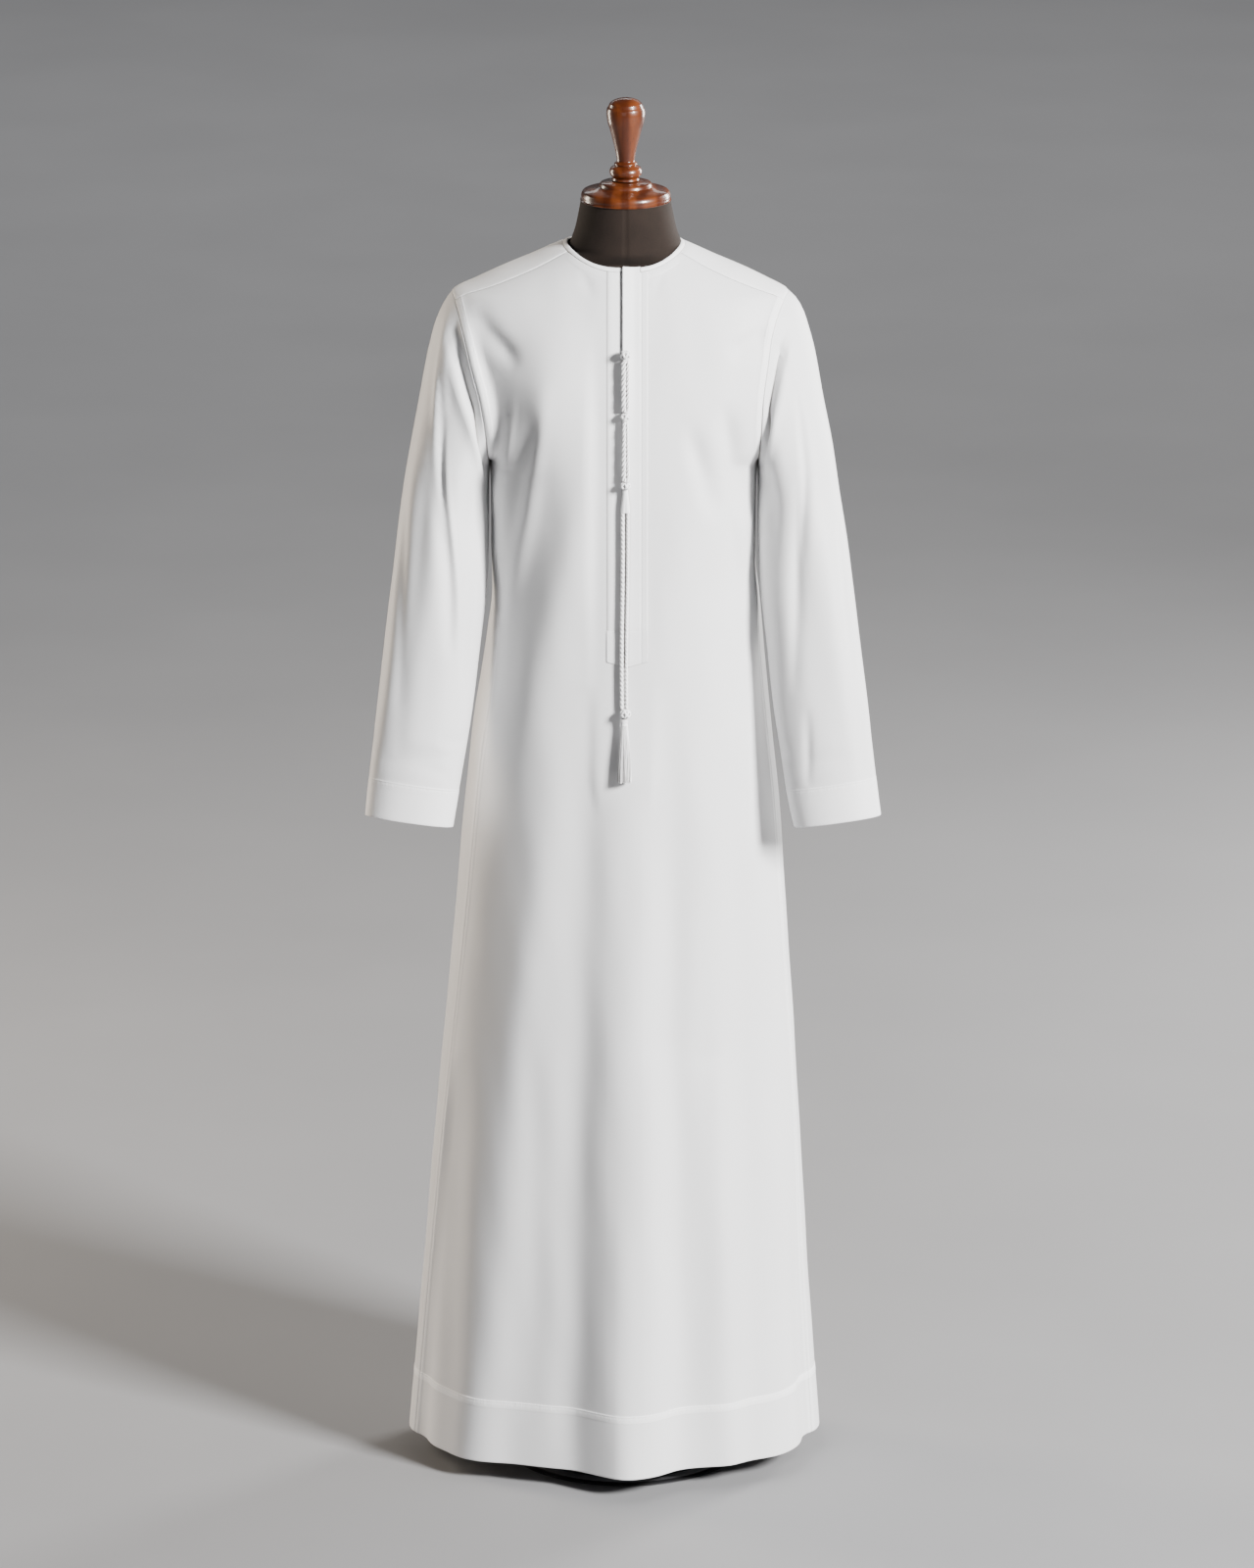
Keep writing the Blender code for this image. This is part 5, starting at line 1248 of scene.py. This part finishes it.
def stack_rings(rings, closed=False):
    count, sides = rings.shape[:2]
    index = np.arange(count * sides).reshape(count, sides)
    beside, below = np.roll(index, -1, axis=1), np.roll(index, -1, axis=0)
    faces = np.stack([index, beside, np.roll(beside, -1, axis=0), below], axis=-1)
    if closed:
        return rings.reshape(-1, 3), faces.reshape(-1, 4).tolist()
    ends = [index[0][::-1].tolist(), index[-1].tolist()]
    return rings.reshape(-1, 3), faces[:-1].reshape(-1, 4).tolist() + ends


def rings_at(places, wide, deep, angles):
    """Level rings of outline points: one row of half widths and depths for each place."""
    ring = np.stack([np.cos(angles) * wide, np.sin(angles) * deep, 0 * (wide + angles)], axis=-1)
    return stack_rings(ring + places[:, None])


def tube(path, radius, sides, closed=False):
    """Points and faces of a round tube along a path."""
    if closed:
        along = unit(np.roll(path, -1, axis=0) - np.roll(path, 1, axis=0))
        out = unit(path - path.mean(axis=0))
        first = unit(out - along * np.sum(out * along, axis=-1, keepdims=True))
        second = np.cross(along, first)
    else:
        first, second = frame_along(path)
    angles = circle(sides)[None, :, None]
    ring = np.cos(angles) * first[:, None] + np.sin(angles) * second[:, None]
    return stack_rings(path[:, None] + ring * radius, closed)


def lobed(path, radius, turn, sides, fill, lobes=3):
    """A twisted cord: strands round one another, as one outline that turns along the path."""
    first, second = frame_along(path)
    angles = circle(sides)
    place = 1 - fill
    local = (angles - turn[:, None] + math.pi / lobes) % (2 * math.pi / lobes) - math.pi / lobes
    inside = np.clip(fill**2 - (place * np.sin(local)) ** 2, 0.0004, None)
    reach = (radius[:, None] * (place * np.cos(local) + np.sqrt(inside)))[..., None]
    angles = angles[None, :, None]
    return stack_rings(path[:, None] + first[:, None] * (reach * np.cos(angles))
                       + second[:, None] * (reach * np.sin(angles)))


def ball(centre, radius, tall):
    lat = np.linspace(-math.pi / 2 + 0.08, math.pi / 2 - 0.08, 18)[:, None]
    out = np.cos(lat) * radius
    return rings_at(centre + np.sin(lat) * (0, 0, tall), out, out, circle(28))


def make_cords(name, parts, ending="_cords"):
    """One mesh of several, which stands for a node of the farokha."""
    points, faces, count = [], [], 0
    for part_points, part_faces in parts:
        points.append(part_points)
        faces += [[k + count for k in face] for face in part_faces]
        count += len(part_points)
    return settle(link_mesh(name + ending, np.concatenate(points), faces, CORD_LOOK), name)


def make_knot(name, z, radius, tall, style):
    """A round knot: strands that wrap it, over one another."""
    centre = lay_line(z, radius * 1.08)
    leads, bights, width = style
    share = np.linspace(0, 1, 60 * leads, endpoint=False)
    around, swing = 2 * math.pi * leads * share, 2 * math.pi * bights * share
    lat = width * np.sin(swing)
    reach = 0.80 + 0.07 * np.cos(2 * swing)
    path = np.stack([radius * reach * np.cos(lat) * np.cos(around), radius * reach * np.cos(lat) * np.sin(around),
                     tall * reach * np.sin(lat)], axis=-1)
    strands = tube(path + centre, radius * 0.27, 8, closed=True)
    return make_cords(name, [ball(centre, radius * 0.80, tall * 0.80), strands])


def make_braid(name, top, bottom, radius_top, radius_bottom):
    """Two twisted cords that lie side by side and lean over each other a little."""
    share = np.linspace(0, 1, 150)
    z = top + (bottom - top) * share
    radius = radius_top + (radius_bottom - radius_top) * share
    ends = fade(np.minimum(share, 1 - share) * 14) * 0.4 + 0.6
    parts = []
    for side, place, size, pitch in BRAID_CORDS:
        path = lay_line(z, max(radius_top, radius_bottom))
        path[:, 0] += side * place * radius * ends
        path[:, 1] += side * BRAID_LEAN + BRAID_SWAY * np.sin(2 * math.pi * (top - z) / BRAID_CORDS[0][3])
        turn = 2 * math.pi * (top - z) / pitch
        parts.append(lobed(path, radius * size * (0.75 + 0.25 * ends), turn, sides=30, fill=0.47))
    make_cords(name, parts)


def make_flare(name):
    top, bottom, radius_top, radius_bottom = FLARE
    top, bottom = top + FLARE_LAPS[0], bottom - FLARE_LAPS[1]
    part = np.linspace(0, 1, 22)[:, None]
    angles = circle(40)
    ribs = 1 + 0.05 * np.abs(np.sin(5 * angles + 2.2 * part)) - 0.16 * part * bell(np.cos(angles), 0.22)
    wide = radius_top + (radius_bottom - radius_top) * fade(part)
    deep = radius_top * (1 - 0.1 * part)
    places = lay_line(top + (bottom - top) * part[:, 0], radius_top)
    make_cords(name, [rings_at(places, wide * ribs, deep * ribs, angles)])


def make_cord(name, side, radius, pitch):
    share = np.linspace(0, 1, 220)
    z = np.linspace(CORD_TOP + CORD_LAPS[0], CORD_BOTTOM - CORD_LAPS[1], len(share))
    drift = CORD_DRIFT * fade((share - 0.2) / 0.7) * (1 - 0.6 * share)
    path = lay_line(z, radius, FAROKHA_X + side * (1 - CORD_CLOSING * share) + drift)
    travel = travel_along(path)
    cord = make_cords(name, [lobed(path, np.full(len(path), radius), -2 * math.pi * travel / pitch, sides=24,
                                   fill=0.55)])


def tassel_line(z):
    return lay_line(z, TASSEL_RADIUS * TASSEL_LAY, TASSEL_X)


def make_tassel(name):
    """The wrapped head, and strands that fall from it in a few locks."""
    heights = np.linspace(TASSEL_TOP + 0.0004, TASSEL_TOP - TASSEL_ROOTS, 46)
    down = TASSEL_TOP - heights
    wide = TASSEL_NECK_RADIUS * np.interp(down, *TASSEL_HEAD)
    wraps = (WRAPS[0] < down) & (down < WRAPS[1])
    wide = (wide * (1 + 0.06 * np.sin(2 * math.pi * down / WRAP_PITCH) * wraps))[:, None]
    parts = [rings_at(tassel_line(heights), wide, wide * TASSEL_FLAT * 1.15, circle(28))]
    table_z = np.linspace(TASSEL_END - 0.004, TASSEL_TOP, 30)
    table_y = tassel_line(table_z)[:, 1]
    share = np.linspace(0, 1, 9)
    start = TASSEL_TOP - STRANDS_BELOW
    wide = TASSEL_NECK_RADIUS * 0.92 + (TASSEL_RADIUS - TASSEL_NECK_RADIUS) * fade(share * 1.1) ** 0.8
    for index in range(TASSEL_STRANDS):
        angle = index * STRAND_TURN
        band = math.sqrt((index + 0.5) / TASSEL_STRANDS)
        end = TASSEL_END + 0.0011 * math.sin(7.3 * index) + 0.0004 * math.sin(2.1 * index)
        z = start + (end - start) * share
        sway = 0.00035 * np.sin(3.1 * share + 1.7 * index) * share
        locks = angle - share * 0.85 / TASSEL_LOCKS * math.sin(TASSEL_LOCKS * angle)
        x = TASSEL_X + (np.cos(locks) * wide * band * 0.97 + sway)
        y = np.interp(z, table_z, table_y) + np.sin(locks) * wide * band * 0.94 * TASSEL_FLAT
        parts.append(tube(np.stack([x, y, z], axis=-1), STRAND_RADIUS, 5))
    return make_cords(name, parts, "_strands")


# ---------------------------------------------------------------- dress form


def make_torso(name):
    turns = np.linspace(-180, 180, 144, endpoint=False)
    angles = np.radians(turns)
    rows = []
    for z in np.concatenate([np.linspace(*row) for row in FORM_ROWS]):
        heights = np.full(len(turns), z)
        offset = read(FORM_OFFSETS, 1, heights) + read(FORM_OFFSETS, 2, heights) * np.cos(angles) ** 2
        rows.append(plain_point(turns, heights) - normal_at(turns, heights) * offset[:, None])
    base, last = rows[0], rows[-1]
    centre = base.mean(axis=0)
    lower = []
    for share in np.linspace(1, 0, 7)[:-1]:
        ring = centre + (base - centre) * (FORM_FOOT + (1 - FORM_FOOT) * math.sqrt(1 - share**2))
        ring[:, 2] = FORM_BOTTOM - FORM_ROUND * share
        lower.append(ring)
    neck = []
    for z in np.linspace(NECK_LOW, NECK_HIGH, 26):
        side, front, behind = (read(NECK_FIT, column, z) for column in (1, 2, 3))
        depth = np.where(np.cos(angles) >= 0, front, behind)
        neck.append(np.stack([FORM_X + side * np.sin(angles), -depth * np.cos(angles), z + 0 * angles], axis=-1))
    grid = np.array(lower + rows + [mixed(last, neck[0], share) for share in (0.34, 0.67)] + neck)
    # The cover's seams run down the middle of its front and back.
    groove = FORM_GROOVE * bell(np.abs(grid[..., 0] - FORM_X), FORM_GROOVE_WIDTH)
    grid = grid - unit(grid - grid.mean(axis=1, keepdims=True)) * groove[..., None]
    return settle(link_mesh(name + "_cover", *stack_rings(grid), SUEDE_LOOK), name)


def make_turned(name, profile, x, finish, sides=96, groove=None):
    """A turned piece: its outline keeps its points and is curved between them."""
    rows = profile
    outline = [rows[0]]
    for k in range(len(rows) - 1):
        start, end = rows[k], rows[k + 1]
        lean_start = (end - rows[max(k - 1, 0)]) / 2 * 0.7
        lean_end = (rows[min(k + 2, len(rows) - 1)] - start) / 2 * 0.7
        for share in (0.25, 0.5, 0.75, 1.0):
            s2, s3 = share**2, share**3
            outline.append((2 * s3 - 3 * s2 + 1) * start + (s3 - 2 * s2 + share) * lean_start
                           + (3 * s2 - 2 * s3) * end + (s3 - s2) * lean_end)
    outline = np.array(outline)
    radius, z = np.clip(outline[:, :1], 0.0004, None), outline[:, 1:]
    if groove:
        at, deep, wide = groove
        radius = radius - deep * bell(z - at, wide) * (radius > 0.003)
    rings = rings_at(np.hstack([x + 0 * z, 0 * z, z]), radius, radius, circle(sides))
    settle(link_mesh(name + "_turned", *rings, finish, smooth_angle=50.0), name)


# ---------------------------------------------------------------- materials


class Look:
    """A node material in the making."""

    def __init__(self, name):
        self.material = bpy.data.materials.new(name)
        self.material.use_nodes = True
        self.tree = self.material.node_tree
        self.shader = self.tree.nodes["Principled BSDF"]

    def feed(self, socket, value):
        if isinstance(value, bpy.types.NodeSocket):
            self.tree.links.new(value, socket)
        else:
            socket.default_value = value

    def node(self, kind, output, inputs, **settings):
        """An output of a new node, with what its inputs are fed."""
        made = self.tree.nodes.new("ShaderNode" + kind)
        for key, value in settings.items():
            setattr(made, key, value)
        for key, value in inputs.items():
            self.feed(made.inputs[key], value)
        return made.outputs[output]

    def finish(self, **values):
        for key, value in values.items():
            self.feed(self.shader.inputs[key.replace("_", " ")], value)
        return self.material

    def place(self, *scale):
        where = self.node("TexCoord", "Object", {})
        return self.node("Mapping", "Vector", {"Vector": where, "Scale": scale}) if scale else where

    def value(self, name, output="Fac"):
        return self.node("Attribute", output, {}, attribute_name=name)

    def noise(self, vector, scale, detail=3.0, roughness=0.5):
        inputs = {"Vector": vector, "Scale": scale, "Detail": detail, "Roughness": roughness}
        return self.node("TexNoise", "Fac", inputs)

    def waves(self, vector, scale, distortion, detail, direction="X", **more):
        inputs = {"Vector": vector, "Scale": scale, "Distortion": distortion, "Detail": detail, **more}
        return self.node("TexWave", "Fac", inputs, wave_type="BANDS", bands_direction=direction)

    def product(self, first, second):
        return self.node("Math", 0, {0: first, 1: second}, operation="MULTIPLY")

    def spread(self, value, low, high, start=0.0, end=1.0):
        inputs = {"Value": value, "From Min": low, "From Max": high, "To Min": start, "To Max": end}
        return self.node("MapRange", "Result", inputs)

    def mix(self, factor, first, second, kind="MIX"):
        first, second = ((*value, 1.0) if isinstance(value, tuple) else value for value in (first, second))
        return self.node("Mix", 2, {0: factor, 6: first, 7: second}, data_type="RGBA", blend_type=kind)

    def blend(self, value, low, high, first, second, most=1.0):
        """From the first colour to the second as a value goes from low to high."""
        return self.mix(self.spread(value, low, high, 0.0, most), first, second)

    def bump(self, height, strength, distance, **normal):
        inputs = {"Height": height, "Strength": strength, "Distance": distance, **normal}
        return self.node("Bump", "Normal", inputs)

    def hollow(self, distance):
        """Ambient occlusion: 1 where the surface is open, less in grooves, between threads and under nearby parts.
        The looks darken their colour by it, as painted shade.
        """
        return self.node("AmbientOcclusion", "AO", {"Distance": distance}, samples=6, only_local=False)


def cloth_look():
    look = Look("thobe_cloth")
    place, weave = look.place(), look.value("weave", "Vector")
    warp, weft = (look.waves(weave, 420.0, 0.6, 1.0, direction) for direction in "XY")
    threads = look.product(warp, weft)
    fine = look.noise(place, 260.0, 4.0, 0.6)
    base = look.blend(look.noise(place, 5.0, 2.0), 0.3, 0.7, (0.655, 0.655, 0.663), (0.677, 0.677, 0.682))
    doubled = look.mix(look.value("layers"), base, (0.865, 0.865, 0.870))
    tone = look.mix(1.0, doubled, look.spread(threads, 0.0, 1.0, 0.975, 1.0), "MULTIPLY")
    # Painted shade: the colour darkens towards grey-brown where ambient occlusion finds seams, stitch grooves,
    # creases and the cords lying on the cloth.
    painted_shade_tone = look.blend(look.hollow(0.004), 0.25, 0.85, (0.42, 0.40, 0.385), tone)
    ripple = look.noise(look.place(1.0, 1.0, 0.25), 330.0, 1.0)
    normal = look.bump(threads, 0.25, 0.00012)
    normal = look.bump(look.product(ripple, look.value("pucker")), 0.5, 0.0009, Normal=normal)
    normal = look.bump(fine, 0.10, 0.0003, Normal=normal)
    return look.finish(Base_Color=painted_shade_tone, Roughness=look.spread(fine, 0.3, 0.7, 0.50, 0.60), Normal=normal,
                       Sheen_Weight=0.22, Sheen_Roughness=0.35, Specular_IOR_Level=0.35)


def thread_look():
    look = Look("stitch_thread")
    fine = look.noise(look.place(), 900.0, 2.0)
    return look.finish(Base_Color=look.blend(fine, 0.3, 0.7, (0.74, 0.74, 0.75), (0.84, 0.84, 0.85)),
                       Roughness=look.spread(fine, 0.3, 0.7, 0.4, 0.55), Normal=look.bump(fine, 0.3, 0.0002),
                       Sheen_Weight=0.2)


def cord_look():
    look = Look("farokha_cord")
    fibre = look.noise(look.place(1.0, 1.0, 0.35), 1600.0, 3.0, 0.6)
    base = look.blend(fibre, 0.35, 0.65, (0.72, 0.72, 0.73), (0.86, 0.86, 0.87))
    base = look.blend(look.noise(look.place(), 60.0, 2.0), 0.3, 0.7, base, (0.80, 0.795, 0.79), 0.35)
    # Painted shade: the colour darkens towards dark brown where ambient occlusion finds the hollows between
    # strands, wraps and locks, and where the cords lie on the cloth.
    base = look.blend(look.hollow(0.0028), 0.35, 0.90, (0.20, 0.175, 0.16), base)
    return look.finish(Base_Color=base, Roughness=look.spread(fibre, 0.3, 0.7, 0.42, 0.58), Sheen_Weight=0.25,
                       Normal=look.bump(fibre, 0.5, 0.0003))


def suede_look():
    look = Look("form_suede")
    place = look.place()
    nap = look.noise(place, 900.0, 4.0, 0.65)
    base = look.blend(nap, 0.35, 0.65, (0.0055, 0.0034, 0.0025), (0.0150, 0.0096, 0.0070))
    base = look.blend(look.noise(place, 22.0), 0.35, 0.65, base, (0.0180, 0.0115, 0.0085), 0.45)
    return look.finish(Base_Color=base, Roughness=look.spread(nap, 0.3, 0.7, 0.85, 0.97), Sheen_Weight=0.03,
                       Specular_IOR_Level=0.18, Sheen_Roughness=0.5, Normal=look.bump(nap, 0.6, 0.0004))


def wood_look():
    look = Look("turned_wood")
    along = look.place(1.0, 1.0, 0.22)
    grain = look.noise(along, 95.0, 5.0, 0.55)
    rings = look.waves(along, 15.0, 4.0, 3.0, **{"Detail Scale": 1.4})
    pores = look.noise(look.place(1.0, 1.0, 0.06), 900.0, 2.0)
    base = look.blend(rings, 0.2, 0.8, (0.042, 0.0085, 0.0022), (0.105, 0.026, 0.0062))
    base = look.blend(grain, 0.35, 0.65, base, (0.060, 0.0140, 0.0036), 0.55)
    base = look.blend(pores, 0.60, 0.72, base, (0.016, 0.0045, 0.0018), 0.6)
    return look.finish(Base_Color=base, Roughness=look.spread(grain, 0.3, 0.7, 0.28, 0.38), Coat_Weight=0.45,
                       Specular_IOR_Level=0.3, Coat_Roughness=0.07, Normal=look.bump(pores, 0.08, 0.0003))


def metal_look():
    look = Look("stand_metal")
    brushed = look.noise(look.place(1.0, 1.0, 0.03), 700.0)
    base = look.blend(look.noise(look.place(), 14.0), 0.35, 0.65, (0.042, 0.042, 0.046), (0.070, 0.068, 0.068))
    return look.finish(Base_Color=base, Metallic=0.75, Roughness=look.spread(brushed, 0.3, 0.7, 0.36, 0.50),
                       Normal=look.bump(brushed, 0.12, 0.0003))


def floor_look():
    look = Look("studio_floor")
    tone = look.noise(look.place(), 2.2)
    base = look.blend(tone, 0.3, 0.7, (0.178, 0.178, 0.183), (0.190, 0.190, 0.195))
    return look.finish(Base_Color=base, Roughness=0.75)


CLOTH_LOOK = cloth_look()
THREAD_LOOK = thread_look()
CORD_LOOK = cord_look()
SUEDE_LOOK = suede_look()
WOOD_LOOK = wood_look()
METAL_LOOK = metal_look()

# ---------------------------------------------------------------- the robe

torso = make_torso("form_torso")
front, front_stitches = make_panel("front_panel", False)
back, back_stitches = make_panel("back_panel", True)
sleeve_r, sleeve_r_stitches = make_sleeve("sleeve_right", -1)
sleeve_l, sleeve_l_stitches = make_sleeve("sleeve_left", 1)
yoke_r, yoke_r_stitches = make_yoke("yoke_right", -1)
yoke_l, yoke_l_stitches = make_yoke("yoke_left", 1)
binding, binding_stitches = make_binding("neck_binding")
under, under_stitches = make_under("placket_under")
over, over_stitches = make_over("placket_over")

# ---------------------------------------------------------------- the farokha

knots = [make_knot(*row) for row in KNOTS]
for row in BRAIDS:
    make_braid(*row)
make_flare("farokha_flare")
tassel = make_tassel("farokha_tassel")
make_cord("farokha_cord_thick", -0.0031, 0.0028, 0.0172)
make_cord("farokha_cord_thin", 0.0030, 0.0022, 0.0150)

# ---------------------------------------------------------------- the dress form's wood and stand

make_turned("form_neck_cap", CAP_PROFILE, FORM_X, WOOD_LOOK, groove=(1.5710, 0.0006, 0.0006))
make_turned("form_finial", FINIAL_PROFILE, FORM_X, WOOD_LOOK, groove=(1.6815, 0.0005, 0.0006))
make_turned("stand_base", BASE_PROFILE, 0.0, METAL_LOOK, sides=128)
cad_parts["stand_pole"].material_slots[0].material = METAL_LOOK

# ---------------------------------------------------------------- floor and light

FLOOR_HALF = 14.0
floor_mesh = bpy.data.meshes.new("studio_floor")
corners = ((-1, -1), (1, -1), (1, 1), (-1, 1))
floor_mesh.from_pydata([(x * FLOOR_HALF, y * FLOOR_HALF, 0.0) for x, y in corners], [], [(0, 1, 2, 3)])
floor_mesh.materials.append(floor_look())
floor = bpy.data.objects.new("studio_floor", floor_mesh)
floor.location.z = -0.0005
bpy.context.scene.collection.objects.link(floor)


def add_light(name, place, target, size, power, colour):
    data = bpy.data.lights.new(name, "AREA")
    data.shape = "RECTANGLE"
    data.size, data.size_y = size
    data.energy = power
    data.color = colour
    light = bpy.data.objects.new(name, data)
    light.location = place
    ahead = np.array(target) - np.array(place)
    light.rotation_euler = (math.atan2(math.hypot(*ahead[:2]), -ahead[2]), 0.0, math.atan2(-ahead[0], ahead[1]))
    bpy.context.scene.collection.objects.link(light)


add_light("key", (4.12, -3.45, 3.7), (0.0, 0.0, 0.9), (1.2, 1.4), 1700.0, (1.0, 0.992, 0.98))
add_light("fill", (-1.0, -5.2, 2.4), (0.0, 0.0, 0.9), (2.4, 2.4), 20.0, (0.97, 0.98, 1.0))
add_light("rim_warm", (-2.9, 1.5, 1.3), (-0.1, 0.0, 0.8), (0.8, 2.6), 150.0, (1.0, 0.87, 0.72))
add_light("rim_cool", (2.5, 2.5, 1.7), (0.1, 0.0, 0.9), (0.8, 2.2), 210.0, (1.0, 0.98, 0.95))
add_light("floor_behind", (0.0, 7.5, 4.5), (0.0, 8.5, 0.0), (9.0, 4.0), 330.0, (1.0, 1.0, 1.0))
world = bpy.data.worlds.new("studio")
world.use_nodes = True
sky = world.node_tree.nodes["Background"].inputs
sky["Color"].default_value = (0.80, 0.83, 0.88, 1.0)
sky["Strength"].default_value = 0.065
bpy.context.scene.world = world
